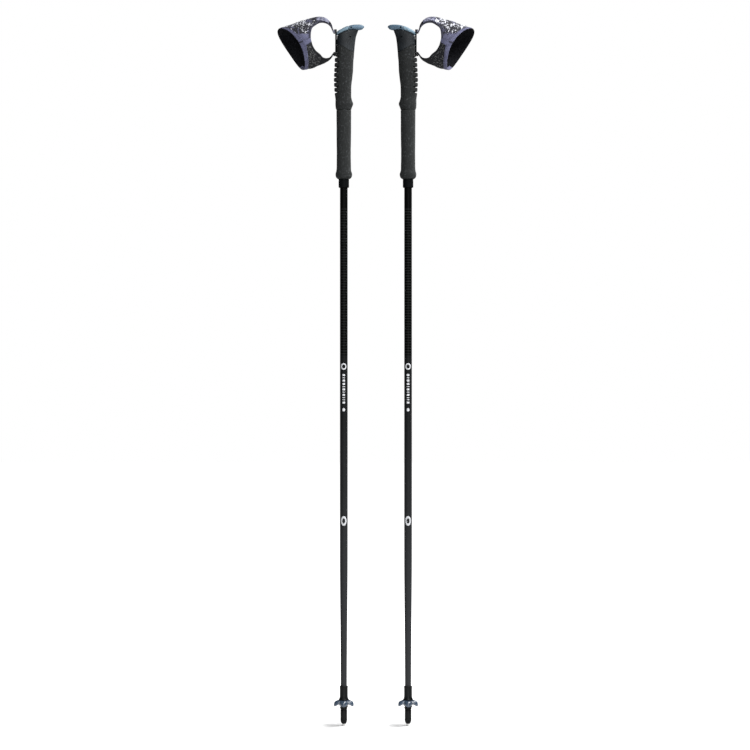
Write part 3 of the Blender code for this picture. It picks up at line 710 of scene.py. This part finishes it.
def tip_body():
    """The flexible sleeve of the tip: a faceted, ribbed foot under a plain barrel."""
    profile = (
        *((12.0, 2.35), (3.9, 2.35), (3.8, 3.4), (4.1, 3.75), (5.4, 4.4), (7.0, 5.0), (8.4, 5.4)),
        *((9.6, 5.62), (10.8, 5.65), (12.6, 5.65), (13.0, 5.5), (13.4, 5.5), (13.8, 5.65)),
        *((26.8, 5.65), (27.5, 5.4), (27.9, 5.0), (28.0, 3.0), (44.0, 3.0)),
    )
    rings = []
    for z, radius in profile:
        ring = []
        for angle in turn(96):
            rib = 0.22 * (math.cos(24 * angle) - 1) if 4.3 < z < 10.9 else 0.0
            reach = radius + rib
            ring.append((reach * math.cos(angle), reach * math.sin(angle), z))
        rings.append(ring)
    return loft([[(0.02 * x, 0.02 * y, 12.0) for x, y, z in rings[0]]] + rings)


def thread_rib():
    turns, count, pitch, start = 1.2, 96, 3.4, 29.3
    rings = []
    for i in range(count + 1):
        share = i / count
        angle = 2 * math.pi * turns * share
        height = start + pitch * turns * share
        reach = 5.7 + 1.35 * smooth(8 * share) * smooth(8 * (1 - share))
        section = rounded(((5.2, -0.95), (reach, -0.5), (reach, 0.5), (5.2, 0.95)), 3, 0.3)
        rings.append([(r * math.cos(angle), r * math.sin(angle), height + dz) for r, dz in section])
    return loft(rings)


def ferrule():
    profile = (
        *((0, 46.0), (3.3, 46.0), (3.3, 28.6), (3.5, 28.4), (5.6, 28.4), (5.8, 28.6), (5.8, 44.2)),
        *((8.1, 44.2), (8.45, 44.35), (8.6, 44.8), (8.45, 45.3), (8.0, 46.0), (7.55, 47.0)),
        *((7.2, 48.2), (6.95, 49.4), (6.85, 51.0), (6.85, 61.0), (6.9, 64.5), (7.05, 66.4)),
        *((7.15, 67.3), (7.05, 67.8), (6.8, 68.0), (6.1, 68.0), (5.85, 67.7), (5.8, 50.3)),
        (0, 50.3),
    )
    return turned(profile)


def basket():
    """Five lobes that curl over and down at their ends, with a shallow dish between their ribs."""
    lobes, per_lobe = 5, 28
    rings = []
    for angle in turn(lobes * per_lobe):
        wave = 0.5 + 0.5 * math.cos(lobes * (angle + math.pi / 2))
        lobe = wave**0.6
        reach = 11.8 + 6.0 * lobe
        drop = 2.0 + 5.5 * lobe
        rib = 0.5 * smooth((wave - 0.86) / 0.14)
        section = (
            (6.15, 43.9),
            (8.4, 43.9),
            (3.8 + 0.55 * reach, 43.2 + rib),
            (reach - 1.4, 42.9 - 0.2 * drop),
            (reach - 0.4, 42.2 - 0.45 * drop),
            (reach, 41.6 - 0.8 * drop),
            (reach - 0.9, 41.1 - drop),
            (reach - 2.2, 41.6 - 0.85 * drop),
            (reach - 2.9, 41.5 - 0.45 * drop),
            (3.4 + 0.5 * reach, 41.1),
            (8.5, 40.0),
            (7.9, 37.0),
            (7.9, 34.7),
            (6.15, 34.6),
        )
        points = rounded(section, 3, 0.35)
        rings.append([(r * math.cos(angle), r * math.sin(angle), z) for r, z in points])
    return loft(rings, cyclic=True)


# ---------------------------------------------------------------- grip


def grip_ring(height, notch=0.0):
    ring = []
    for angle in turn(ROUND):
        cosine, sine = math.cos(angle), math.sin(angle)
        power = 1.0 if cosine > 0 else 0.85
        z = height if not callable(height) else height(10 * cosine)
        for _ in range(4 if callable(height) else 1):
            side = curve(GRIP_OUTLINE, z, 1 if cosine > 0 else 2)
            x = squared(cosine, power) * side
            z = height if not callable(height) else height(x)
        y = curve(GRIP_OUTLINE, z, 3) * squared(sine, power)
        depth = notch * smooth((-cosine - 0.4) / 0.4)
        ring.append(Vector((x + depth, y, z)))
    return ring


def bore_ring(height):
    points = []
    for angle in turn(ROUND):
        x, y = BORE_RADIUS * math.cos(angle), BORE_RADIUS * math.sin(angle)
        points.append(Vector((x, y, height(x) if callable(height) else height)))
    return points


def foam_edge(x):
    return 1165.0 - 12.0 * smooth((x + 12.0) / 30.0)


def uneven(bm):
    """Small soft dents, so that foam isn't machined."""
    amount, size = FOAM_DENTS
    for vertex in bm.verts:
        shift = noise.noise(vertex.co / size)
        flat = Vector((vertex.co.x, vertex.co.y, 0))
        if flat.length > BORE_RADIUS + 1:
            vertex.co += flat.normalized() * amount * (shift - 0.3)
    return bm


def collar():
    return turned(
        (
            (BORE_RADIUS, COLLAR_BOTTOM + 0.2),
            (7.1, COLLAR_BOTTOM),
            (7.9, COLLAR_BOTTOM),
            (8.5, COLLAR_BOTTOM + 0.25),
            (8.85, COLLAR_BOTTOM + 0.8),
            (8.95, COLLAR_BOTTOM + 1.6),
            (8.95, COLLAR_TOP - 2.6),
            (8.75, COLLAR_TOP - 2.4),
            (8.75, COLLAR_TOP - 1.9),
            (8.95, COLLAR_TOP - 1.7),
            (8.95, COLLAR_TOP - 0.2),
            (8.75, COLLAR_TOP),
            (BORE_RADIUS, COLLAR_TOP),
        )
    )


def grip_extension():
    heights = steps(EXTENSION_BOTTOM, 956.0, 22) + steps(958.5, EXTENSION_TOP - 1.2, 38)
    rings = [grip_ring(z) for z in heights]
    top = [point.lerp(Vector((0, 0, point.z)), 0.03) + Vector((0, 0, 0.8)) for point in rings[-1]]
    bore = [bore_ring(EXTENSION_TOP - GAP), bore_ring(EXTENSION_BOTTOM)]
    return uneven(loft(rings + [top] + bore, cyclic=True))


def upper_grip():
    rings = [grip_ring(z) for z in steps(EXTENSION_TOP + 0.3, 1080.4, 26)]
    wall = ((2.6, 0.0), (1.95, 0.03), (1.5, 0.12), (1.2, 0.5), (0.95, 0.9), (0.5, 1.0))
    notch = [(-offset, share) for offset, share in wall] + list(wall[::-1])
    for i in range(NOTCHES):
        middle = FIRST_NOTCH + i * NOTCH_PITCH
        for offset, share in notch:
            rings.append(grip_ring(middle + offset, NOTCH_DEPTH * share))
        if i < NOTCHES - 1:
            rings.append(grip_ring(middle + NOTCH_PITCH / 2))
    for share in steps(0.0, 1.0, 14):
        rings.append(grip_ring(lambda x, share=share: (1 - share) * 1148.2 + share * (foam_edge(x) - 0.25)))
    bore = [bore_ring(lambda x: foam_edge(x) - 0.25), bore_ring(EXTENSION_TOP + 0.2)]
    return uneven(loft(rings + bore, cyclic=True))


def cap_under(x):
    return curve(CAP_OUTLINE, x, 1)


def cap_over(x):
    return curve(CAP_OUTLINE, x, 2)


def head_rim(x):
    return cap_under(x) - GAP - 1.15 * math.tan(math.radians(4)) * max(LEVER_PIN.x - x, 0)


def cap_sections(stations):
    rings = []
    for x in stations:
        low, high = cap_under(x), cap_over(x)
        half = curve(CAP_OUTLINE, x, 3)
        ring = []
        for angle in turn(36, 0.5):
            rise = squared(math.sin(angle), 0.7) * (high - low) / 2
            ring.append(Vector((x, half * squared(math.cos(angle), 0.7), (low + high) / 2 + rise)))
        rings.append(ring)
    return rings


def shrunk(ring, x, share):
    """A ring moved to another x and drawn in towards its middle, to round off an end."""
    middle = sum(ring, Vector()) / len(ring)
    return [Vector((x, *(middle.lerp(point, share)).yz)) for point in ring]


def square_sections(stations, inset, bottom, top):
    rings = []
    for x in stations:
        half = curve(CAP_OUTLINE, x, 3) - inset
        corners = ((-half, bottom(x)), (half, bottom(x)), (half, top(x)), (-half, top(x)))
        rings.append([(x, y, z) for y, z in corners])
    return loft(rings)


def grip_head():
    lower = [bore_ring(1165.6), bore_ring(lambda x: foam_edge(x) + 0.25)]
    sides = [
        grip_ring(lambda x, share=share: (1 - share) * (foam_edge(x) + 0.25) + share * head_rim(x))
        for share in steps(0.0, 1.0, 16)
    ]
    solid = loft(lower + sides, curved_ends=True)
    boss = square_sections((-8.6, -3.0, 2.0, 7.4), 3.4, lambda x: 1177.0, lambda x: cap_under(x) + 1.2)
    slot = block((-20.0, -SLOT_HALF_WIDTH, SLOT_FLOOR), (14.6, SLOT_HALF_WIDTH, 1215.0))
    return cut(joined(solid, boss), slot, cross_pin(PAWL_PIN, PIN_HOLE, 20.0))


def cap_horn():
    start = CAP_SPLIT + GAP
    rings = cap_sections([start + 0.35] + steps(start + 0.9, 34.0, 30))
    rings.insert(0, shrunk(rings[0], start, 0.965))
    last = cap_sections([34.0])[0]
    rings += [shrunk(last, x, share) for x, share in ((34.35, 0.86), (34.6, 0.62), (34.7, 0.3))]
    slot = block((5.0, -SLOT_HALF_WIDTH, 1180.0), (16.6, SLOT_HALF_WIDTH, 1197.0))
    return cut(loft(rings), slot, cross_pin(LEVER_PIN, PIN_HOLE, 20.0))


def release_lever():
    """The thumb lever, with a patch of grip ridges across its top."""
    end = CAP_SPLIT - GAP
    rings = cap_sections(steps(-11.8, end - 0.9, 60) + [end - 0.35])
    for ring in rings:
        x = ring[0].x
        ends = smooth((x + 9.6) / 2) * smooth((6.2 - x) / 2)
        ridge = max(0.0, math.cos(2 * math.pi * (x + 7.6) / 2.5)) ** 0.8 * ends
        for point in ring:
            inside = smooth((9.5 - abs(point.y)) / 2.0)
            if point.z > (cap_under(x) + cap_over(x)) / 2:
                point.z += 0.45 * ridge * inside
    rings.insert(0, shrunk(rings[0], -12.0, 0.94))
    rings.append(shrunk(rings[-1], end, 0.965))
    stations = (-9.6, -7.9, -3.0, 2.0, 12.0)
    hollow = square_sections(stations, 2.5, lambda x: 1170.0, lambda x: cap_over(x) - 2.4)
    outline = (
        *((1.0, 1191.2), (9.0, 1191.2), (13.6, 1191.4), (15.4, 1193.0)),
        *((15.4, 1195.0), (14.0, 1196.2), (4.0, 1195.9)),
    )
    knuckle = plate([tuple(point) for point in rounded(outline, 4, 0.25)], SLOT_HALF_WIDTH - 0.4)
    finger = block((5.8, -2.0, 1183.6), (8.1, 2.0, 1192.0))
    lever = joined(cut(loft(rings), hollow), knuckle, finger)
    return cut(lever, cross_pin(LEVER_PIN, PIN_HOLE, 20.0))


def pin(centre, half_length):
    """A pressed pin with chamfered ends and a small dimple in each."""
    profile = []
    for sign in (-1, 1):
        ends = [(0, half_length - 0.35), (0.45, half_length - 0.35), (0.6, half_length), (0.95, half_length)]
        ends.append((PIN_RADIUS, half_length - 0.25))
        profile += [(r, sign * z) for r, z in (ends if sign < 0 else ends[::-1])]
    bm = turned(profile, 32)
    bmesh.ops.rotate(bm, verts=bm.verts, cent=(0, 0, 0), matrix=Matrix.Rotation(math.pi / 2, 3, "X"))
    return moved(bm, centre)


# ---------------------------------------------------------------- clip


def clip_post(loop):
    low, high = loop
    foot, head = low - 1.0, high + 1.0
    post = turned(((0, foot), (POST_RADIUS, foot), (POST_RADIUS, head), (0, head)), 24)
    solids = [moved(post, (SWING_AXIS_X, 0, 0))]
    outline = [(POST_ROOT_X, 1.1), (POST_ROOT_X, -1.1)]
    for angle in steps(-math.pi / 2, math.pi / 2, 12):
        outline.append((SWING_AXIS_X - 1.1 * math.cos(angle), 1.1 * math.sin(angle)))
    for z in (low - GAP - 1.3, high + GAP):
        solids.append(loft([[(x, y, level) for x, y in outline] for level in (z, z + 1.3)]))
    return joined(*solids)


def strap_clip():
    """The plug: a rounded bar down the rear of the head, with a tongue and two strap posts."""
    foot, head, easing = 1146.2, 1192.0, 2.2
    rings = []
    for z in steps(foot, head, 40):
        close = min(z - foot, head - z)
        taper = math.sqrt(max(0.0, 1 - (1 - min(close, easing) / easing) ** 2))
        half = 3.2 + 1.4 * taper
        deep = (BAR_FRONT - BAR_BACK) / 2 * (0.55 + 0.45 * taper)
        middle = (BAR_FRONT + BAR_BACK) / 2
        ring = []
        for angle in turn(28):
            x = middle + deep * squared(math.cos(angle), 0.25)
            ring.append((x, half * squared(math.sin(angle), 0.3), z))
        rings.append(ring)
    outline = (
        *((-13.4, 1170.2), (-4.6, 1170.2), (-3.8, 1171.4), (-5.8, 1174.4)),
        *((-6.4, 1173.2), (-10.0, 1173.2), (-10.6, 1174.4), (-13.4, 1174.4)),
    )
    tongue = plate(outline, 3.2)
    return joined(loft(rings), tongue, clip_post(UPPER_LOOP), clip_post(PALM_LOOP))


# ---------------------------------------------------------------- hand strap


def wrist_edge(degrees):
    angle = math.radians(degrees)
    middle = (WRIST_NEAR + WRIST_FAR + WRIST_TOP + WRIST_BOTTOM) / 4
    second = (WRIST_NEAR + WRIST_FAR - WRIST_TOP - WRIST_BOTTOM) / 4
    across, upward = (WRIST_NEAR - WRIST_FAR) / 2, (WRIST_TOP - WRIST_BOTTOM) / 2
    return middle + across * math.cos(angle) + upward * math.sin(angle) + second * math.cos(2 * angle)


FRONT_TABLE = (
    tuple((row[0] - 360, *row[1:]) for row in FRONT_EDGE[:-1])
    + FRONT_EDGE[:-1]
    + tuple((row[0] + 360, *row[1:]) for row in FRONT_EDGE)
)


def front_edge(degrees):
    return Vector([curve(FRONT_TABLE, degrees, column) for column in (1, 2, 3)])


def around(degrees):
    angle = math.radians(degrees)
    return Vector((0, -math.cos(angle), math.sin(angle)))


def band_point(degrees, along):
    wrist, front = wrist_edge(degrees), front_edge(degrees)
    return wrist.lerp(front, along) + around(degrees) * BAND_BULGE * math.sin(math.pi * along)


def band_share(degrees, millimetres):
    return millimetres / (front_edge(degrees) - wrist_edge(degrees)).length


def band_frame(degrees, along):
    """The directions of the band at a point: along it, round it and out of it."""
    forward = (band_point(degrees, along + 0.02) - band_point(degrees, along - 0.02)).normalized()
    round_ = (band_point(degrees + 2, along) - band_point(degrees - 2, along)).normalized()
    out = forward.cross(round_).normalized()
    if out.dot(around(degrees)) < 0:
        out = -out
    return forward, round_, out


def wrinkle(point, size, amount):
    return amount * noise.noise(point / size)


def on_band(degrees, along, lift=0.0, size=1.0, amount=0.0):
    """A point over the band, with small folds, and the band's directions there."""
    point = band_point(degrees, along)
    forward, round_, out = band_frame(degrees, along)
    return point + out * (lift + wrinkle(point, size, amount)), forward, round_, out


def two_sided(grid, outs, thickness):
    """A sheet with its own material on its inner side. Its rim belongs to the outer side."""
    columns = len(grid[0])
    bm = bmesh.new()
    rows = []
    for points, directions in zip(grid, outs):
        upper = [bm.verts.new(p + d * thickness / 2) for p, d in zip(points, directions)]
        lower = [bm.verts.new(p - d * thickness / 2) for p, d in zip(points, directions)]
        rows.append(upper + lower[::-1])
    for low, high in zip(rows, rows[1:]):
        for i in range(len(low)):
            j = (i + 1) % len(low)
            face = bm.faces.new((low[i], low[j], high[j], high[i]))
            face.material_index = 1 if columns <= i < 2 * columns - 1 else 0
    for end in (rows[0], rows[-1]):
        for i in range(columns - 1):
            bm.faces.new((end[i], end[i + 1], end[-i - 2], end[-i - 1]))
    bmesh.ops.recalc_face_normals(bm, faces=bm.faces)
    return bm


def band_patch(first, last, rows, columns):
    """A panel, slightly wrinkled, and puckered where it is sewn to the hem."""
    grid, outs = [], []
    for degrees in steps(first, last, rows):
        inner = band_share(degrees, BINDING_WIDTH - 2.0)
        line, directions = [], []
        for along in steps(inner, 1 - band_share(degrees, 1.0), columns):
            point = band_point(degrees, along)
            out = band_frame(degrees, along)[2]
            pucker = math.exp(-(along - inner) / 0.07) * 0.22 * math.sin(math.radians(degrees) * 40)
            line.append(point + out * (wrinkle(point, 13.0, 0.75) + wrinkle(point, 5.0, 0.2) + pucker))
            directions.append(out)
        grid.append(line)
        outs.append(directions)
    return two_sided(grid, outs, 1.3)


def ribbon(path, wide, thick, ring=False, count=14):
    """A soft flat band along a path of (point, across, out)."""
    rings = []
    for index, (point, across, out, *own) in enumerate(path):
        wide = own[0] if own else wide
        end = 1.0 if ring else min(1.0, 0.35 + 0.65 * min(index, len(path) - 1 - index) / 2)
        loop = []
        for angle in turn(count):
            u = wide / 2 * squared(math.cos(angle), 0.6)
            v = thick / 2 * squared(math.sin(angle), 0.6) * end
            loop.append(point + across * u + out * v)
        rings.append(loop)
    return loft(rings, cyclic=ring)


def hem_width(degrees):
    """The hem is widest beside the lap tab on the near side."""
    away = (degrees + 14 + 180) % 360 - 180
    return BINDING_WIDTH - 0.6 + 3.2 * math.exp(-((away / 34) ** 2))


def wrist_binding():
    """The folded hem round the wrist: dark inside, and dark all round where it lies on the far side, which is
    painted shade inside the loop; low down, from 232 to 300 degrees, it keeps the hem's colour all round.
    """
    count = 160
    path = []
    for i in range(count):
        degrees = 360 * i / count
        wide = hem_width(degrees)
        point, forward, _, out = on_band(degrees, band_share(degrees, wide / 2), 0.0, 9.0, 0.35)
        path.append((point, forward, out, wide))
    bm = ribbon(path, None, 2.5, ring=True, count=18)
    for face in bm.faces:
        middle = face.calc_center_median()
        nearest = min(range(count), key=lambda i: (path[i][0] - middle).length_squared)
        degrees = 360 * nearest / count
        point, forward, out, wide = path[nearest]
        inside = (middle - point).dot(out) < 0.35
        rim = (middle - point).dot(forward) < -0.42 * wide
        # Painted shade: on the far side the hem takes the black lining all round, except low down.
        far_painted_shade = 76 < degrees < 232
        low = 232 <= degrees < 300
        face.material_index = 1 if (far_painted_shade or inside or rim) and not low else 0
    return bm


def relaxed(path, rounds):
    """A path of (point, across, out, width) with its corners eased."""
    for _ in range(rounds):
        eased = [path[0]]
        for before, here, after in zip(path, path[1:], path[2:]):
            point = (before[0] + 2 * here[0] + after[0]) / 4
            across = (before[1] + 2 * here[1] + after[1]).normalized()
            out = (before[2] + 2 * here[2] + after[2]).normalized()
            eased.append((point, across, out, (before[3] + 2 * here[3] + after[3]) / 4))
        path = eased + [path[-1]]
    return path


def hole_trim(strap, side, seam):
    """The binding of the thumb hole: from the seam, round the band's front edge, and up a strap."""
    corner = strap[0] + STRAP_SPREAD * side
    path = []
    for degrees in steps(seam, corner, 52):
        point, forward, _, out = on_band(degrees, 1 - band_share(degrees, 1.2), 0.0, 8.0, 0.25)
        path.append((point, forward, out, 3.6))
    for share in steps(0.06, 0.95, 40):
        point = strap_point(*strap, side * 0.93, share)
        across = (point - strap_point(*strap, side * 0.5, share)).normalized()
        wide = 2.2 + 1.4 * (1 - smooth(share / 0.35))
        path.append((point, across, strap_out(strap, side * 0.9, share), wide))
    return ribbon(relaxed(path, 14), None, 2.1)


def lap_seam():
    """The turned edge of the back panel where it laps over the palm panel on the near side."""
    path = []
    for share in steps(0.03, 0.965, 40):
        point, _, round_, out = on_band(SEAM_NEAR + 4, share, 1.25)
        path.append((point, round_, out))
    return ribbon(path, 3.2, 1.1)


def stitches(path, thread=0.24, length=2.3, gap=1.1):
    """A run of short stitches along a path of (point, out)."""
    solids = []
    travelled = 0.0
    points = [path[0]]
    for a, b in zip(path, path[1:]):
        span = (b[0] - a[0]).length
        count = max(1, round(span / 0.35))
        for k in range(1, count + 1):
            share = k / count
            points.append((a[0].lerp(b[0], share), a[1].lerp(b[1], share).normalized()))
    run = []
    for a, b in zip(points, points[1:]):
        travelled += (b[0] - a[0]).length
        if travelled % (length + gap) < length:
            run.append(b)
        elif run:
            if len(run) > 3:
                solids.append(stitch(run, thread))
            run = []
    return together(*solids)


def stitch(run, thread):
    rings = []
    for index, (point, out) in enumerate(run):
        share = index / (len(run) - 1)
        arch = math.sin(math.pi * share)
        forward = (run[min(index + 1, len(run) - 1)][0] - run[max(index - 1, 0)][0]).normalized()
        side = forward.cross(out).normalized()
        radius = thread * (0.45 + 0.55 * math.sqrt(arch))
        centre = point + out * thread * (0.8 * arch - 0.3)
        ring = []
        for angle in steps(0, 2 * math.pi * 5 / 6, 6):
            ring.append(centre + side * radius * math.cos(angle) + out * radius * math.sin(angle))
        rings.append(ring)
    return loft(rings)


def stitched(spots, lift, thread=0.24, folds=(1.0, 0.0)):
    """Stitches through spots of the band, each given by its angle and its place along."""
    path = []
    for degrees, along in spots:
        point, _, _, out = on_band(degrees, along, lift, *folds)
        path.append((point, out))
    return stitches(path, thread)


def hem_stitching():
    """Two rows inside the hem's inner edge."""
    rows = []
    for inset, lift in ((1.3, 1.2), (2.6, 1.3)):
        angles = steps(-88, 92, 80)
        rows.append(stitched([(a, band_share(a, hem_width(a) - inset)) for a in angles], lift))
    return together(*rows)


def trim_stitching():
    """A row along the front edge on each side of the upper strap."""
    rows = []
    for first, last in ((68, SEAM_NEAR - 56), (112, 248)):
        rows.append(stitched([(a, 1 - band_share(a, 3.5)) for a in steps(first, last, 60)], 1.1))
    return together(*rows)


def tab_stitching():
    rows = []
    for degrees in (SEAM_NEAR - 7.6, SEAM_NEAR + 4.4):
        spots = [(degrees, along) for along in steps(0.36, 0.96, 20)]
        rows.append(stitched(spots, 2.0, 0.2, (7.0, 0.35)))
    return together(*rows)


STRAP_END_X = SWING_AXIS_X - LOOP_RADIUS - 0.1
UPPER_STRAP = (
    90,
    ((-33.0, 0, 1216.2), (-19.6, 0, 1208.5), (STRAP_END_X, 0, 1187.0)),
    ((-37.0, 8.0, 1206.4), (-20.0, 3.2, 1204.0), (STRAP_END_X, 1.4, 1187.0)),
)
PALM_STRAP = (
    270,
    ((-34.0, 0, 1134.0), (-20.6, 0, 1138.0), (STRAP_END_X, 0, 1151.0)),
    ((-31.5, 7.5, 1140.0), (-20.4, 3.2, 1140.5), (STRAP_END_X, 1.4, 1151.0)),
)


def strap_point(middle, ridge, edge, side, share):
    """A point of a strap: side is -1 and 1 at its borders, and share runs from the band to the clip."""
    degrees = middle + STRAP_SPREAD * side
    onward = (band_point(degrees, 1.0) - band_point(degrees, 0.9)).normalized()
    start = band_point(degrees, 1.0) - onward * 2.5 * (1 - side * side)
    sign = abs(side) * math.copysign(1, -math.cos(math.radians(degrees)))
    points = []
    for inner, outer in zip(ridge, edge):
        point = Vector(inner).lerp(Vector(outer), side * side)
        points.append(Vector((point.x, outer[1] * sign, point.z)))
    return bezier(start, *points, share)


def strap_out(strap, side, share):
    ahead, behind = min(share + 0.02, 1.0), max(share - 0.02, 0.0)
    forward = strap_point(*strap, side, ahead) - strap_point(*strap, side, behind)
    across = strap_point(*strap, side + 0.1, share) - strap_point(*strap, side - 0.1, share)
    out = forward.cross(across).normalized()
    upward = 1 if strap[0] < 180 else -1
    hint = Vector((0, 0, upward)).lerp(Vector((-1, 0, 0)), smooth((share - 0.45) / 0.35))
    return out if out.dot(hint) >= 0 else -out


def strap(shape, loop):
    grid, outs = [], []
    for side in steps(-1.0, 1.0, 21):
        line = [strap_point(*shape, side, share) for share in steps(0.0, 1.0, 44)]
        outs.append([strap_out(shape, side, share) for share in steps(0.0, 1.0, 44)])
        grid.append([point + out * wrinkle(point, 6.0, 0.25) for point, out in zip(line, outs[-1])])
    low, high = loop
    inner, outer, bevel = POST_RADIUS + 0.2, LOOP_RADIUS, 0.3
    profile = (
        *((inner, low + 0.2), (inner + bevel, low), (outer - bevel, low), (outer, low + 0.35)),
        *((outer, high - 0.35), (outer - bevel, high), (inner + bevel, high), (inner, high - 0.2)),
    )
    sleeve = moved(turned(profile, 28), (SWING_AXIS_X, 0, 0))
    return together(two_sided(grid, outs, 1.1), sleeve)


def closure_tab():
    """The lapped end of the back panel, closed over the near seam."""
    grid, outs = [], []
    for degrees in steps(SEAM_NEAR - 9, SEAM_NEAR + 6, 12):
        line, directions = [], []
        for along in steps(0.335, 0.985, 34):
            point, _, _, out = on_band(degrees, along, 1.55, 7.0, 0.35)
            line.append(point)
            directions.append(out)
        grid.append(line)
        outs.append(directions)
    return two_sided(grid, outs, 0.9)


# ---------------------------------------------------------------- assembly


def build_pole(side):
    def add(name, bm, body, materials, node=None, **settings):
        return add_piece(name, bm, body, materials, side, node, **settings)

    def sew(name, bm, materials="dark_hem", node=None, sharp=80):
        return add_piece(name, bm, "wrap", materials, side, node, sharp=sharp)

    add("shaft_tube", shaft(), "pole", "carbon", "shaft")
    add("shaft_marks", shaft_marks(), "pole", "paint", mirror=False)
    add("tip_sleeve", tip_body(), "tip", "ferrule", "tip_body")
    add("tip_point", carbide_tip(), "tip", "carbide", "carbide_tip")
    add("ferrule_sleeve", ferrule(), "pole", "ferrule", "ferrule")
    add("basket_thread", thread_rib(), "pole", "ferrule", mirror=False)
    add("star_basket", basket(), "basket_ring", "basket", "basket", sharp=60)
    add("collar_ring", collar(), "pole", "black", "grip_collar")
    add("extension_foam", grip_extension(), "pole", "extension_foam", "grip_extension", sharp=70)
    add("grip_foam", upper_grip(), "pole", "foam", "upper_grip", sharp=70)
    add("head_shell", grip_head(), "pole", "head", "grip_head")
    add("horn", cap_horn(), "pole", "horn", "cap_horn", sharp=50)
    add("thumb_lever", release_lever(), "lever", "lever", "release_lever", sharp=50)
    add("lever_pivot", pin(LEVER_PIN, 12.15), "pole", "black", "lever_pin")
    add("pawl_pivot", pin(PAWL_PIN, 11.35), "pole", "black", "pawl_pin")
    add("strap_plug", strap_clip(), "clip", "black", "strap_clip", sharp=50)

    hem = sew("wrist_hem", wrist_binding(), ("hem", "lining"), "wrist_binding")
    panel = band_patch(SEAM_NEAR, SEAM_FAR, 120, 34)
    back = sew("back_panel", panel, ("printed", "lining"), "wrap_back_panel", 60)
    panel = band_patch(SEAM_FAR, SEAM_NEAR + 360, 90, 34)
    palm = sew("palm_panel", panel, ("mesh", "lining"), "wrap_palm_panel", 60)
    webbing = strap(UPPER_STRAP, UPPER_LOOP)
    upper = sew("upper_webbing", webbing, ("strap", "lining"), "upper_strap", 60)
    webbing = strap(PALM_STRAP, PALM_LOOP)
    lower = sew("palm_webbing", webbing, ("palm_strap", "lining"), "palm_strap", 60)
    tab = sew("lap_tab", closure_tab(), ("hem", "lining"), "closure_tab", 60)
    trims = [
        sew("near_trim", hole_trim(UPPER_STRAP, -1, SEAM_NEAR)),
        sew("far_trim", hole_trim(UPPER_STRAP, 1, SEAM_FAR)),
        sew("near_palm_trim", hole_trim(PALM_STRAP, 1, SEAM_NEAR + 360), "palm_strap"),
        sew("far_palm_trim", hole_trim(PALM_STRAP, -1, SEAM_FAR), "palm_strap"),
    ]
    threads = [
        sew("hem_stitching", hem_stitching()),
        sew("trim_stitching", trim_stitching()),
        sew("tab_stitching", tab_stitching()),
    ]
    hidden_piece("latch_pawl", "pawl", side)
    spring = hidden_piece("latch_spring", "pawl", side)
    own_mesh(spring)
    threads.append(sew("lap_seam", lap_seam()))


for each_side in SIDES:
    build_pole(each_side)


# ---------------------------------------------------------------- studio


def area_light(name, place, aim, size, power):
    light = bpy.data.lights.new(name, "AREA")
    light.shape = "RECTANGLE"
    light.size, light.size_y = size
    light.energy = power
    lamp = bpy.data.objects.new(name, light)
    lamp.location = place
    lamp.rotation_euler = (Vector(aim) - Vector(place)).to_track_quat("-Z", "Y").to_euler()
    bpy.context.scene.collection.objects.link(lamp)


def white_world():
    """White behind the object, and a dim even light on it."""
    world = bpy.data.worlds.new("studio")
    world.use_nodes = True
    tree = world.node_tree
    dim, white = tree.nodes["Background"], tree.nodes.new("ShaderNodeBackground")
    for background in (dim, white):
        background.inputs["Color"].default_value = (1, 1, 1, 1)
    dim.inputs["Strength"].default_value = 0.09
    seen = tree.nodes.new("ShaderNodeLightPath")
    choose = tree.nodes.new("ShaderNodeMixShader")
    tree.links.new(seen.outputs["Is Camera Ray"], choose.inputs[0])
    tree.links.new(dim.outputs[0], choose.inputs[1])
    tree.links.new(white.outputs[0], choose.inputs[2])
    tree.links.new(choose.outputs[0], tree.nodes["World Output"].inputs[0])
    bpy.context.scene.world = world


def white_floor():
    """A pale floor that glows into the white background away from the object."""
    mesh = bpy.data.meshes.new("floor")
    bm = bmesh.new()
    bmesh.ops.create_grid(bm, x_segments=2, y_segments=2, size=12.0)
    bm.to_mesh(mesh)
    bm.free()
    floor = bpy.data.objects.new("floor", mesh)
    m = Nodes("floor", (0.9, 0.9, 0.9), 0.95, specular=0.05)
    reach = m.add("VectorMath", output=1, inputs=((0, m.coordinates),), operation="LENGTH")
    m.shader.inputs["Emission Color"].default_value = (1, 1, 1, 1)
    seen = m.tree.nodes.new("ShaderNodeLightPath").outputs["Is Camera Ray"]
    glow = m.maths("MULTIPLY", m.band(reach, 0.12, 0.9, 0.0, 1.0), seen)
    m.put(m.shader.inputs["Emission Strength"], glow)
    mesh.materials.append(m.material)
    bpy.context.scene.collection.objects.link(floor)


def studio():
    scene = bpy.context.scene
    scene.view_settings.view_transform = "Standard"
    white_world()
    white_floor()
    area_light("top", (1.0, -0.1, 2.0), (0, 0, 0.1), (2.4, 0.6), 80)
    area_light("key", (0.35, -2.7, 2.4), (0, 0, 1.0), (0.6, 0.6), 44)
    area_light("low", (0.3, -2.6, 0.5), (0, 0, 0.35), (0.7, 0.9), 22)

    camera = bpy.data.objects.new("camera", bpy.data.cameras.new("camera"))
    camera.location = (-0.0016, -CAMERA_DISTANCE, CAMERA_HEIGHT)
    camera.rotation_euler = (math.pi / 2, 0, 0)
    camera.data.sensor_width = 36.0
    camera.data.lens = 36.0 * CAMERA_DISTANCE / VIEW_HEIGHT
    camera.data.clip_start = 0.01
    scene.collection.objects.link(camera)
    scene.camera = camera


studio()
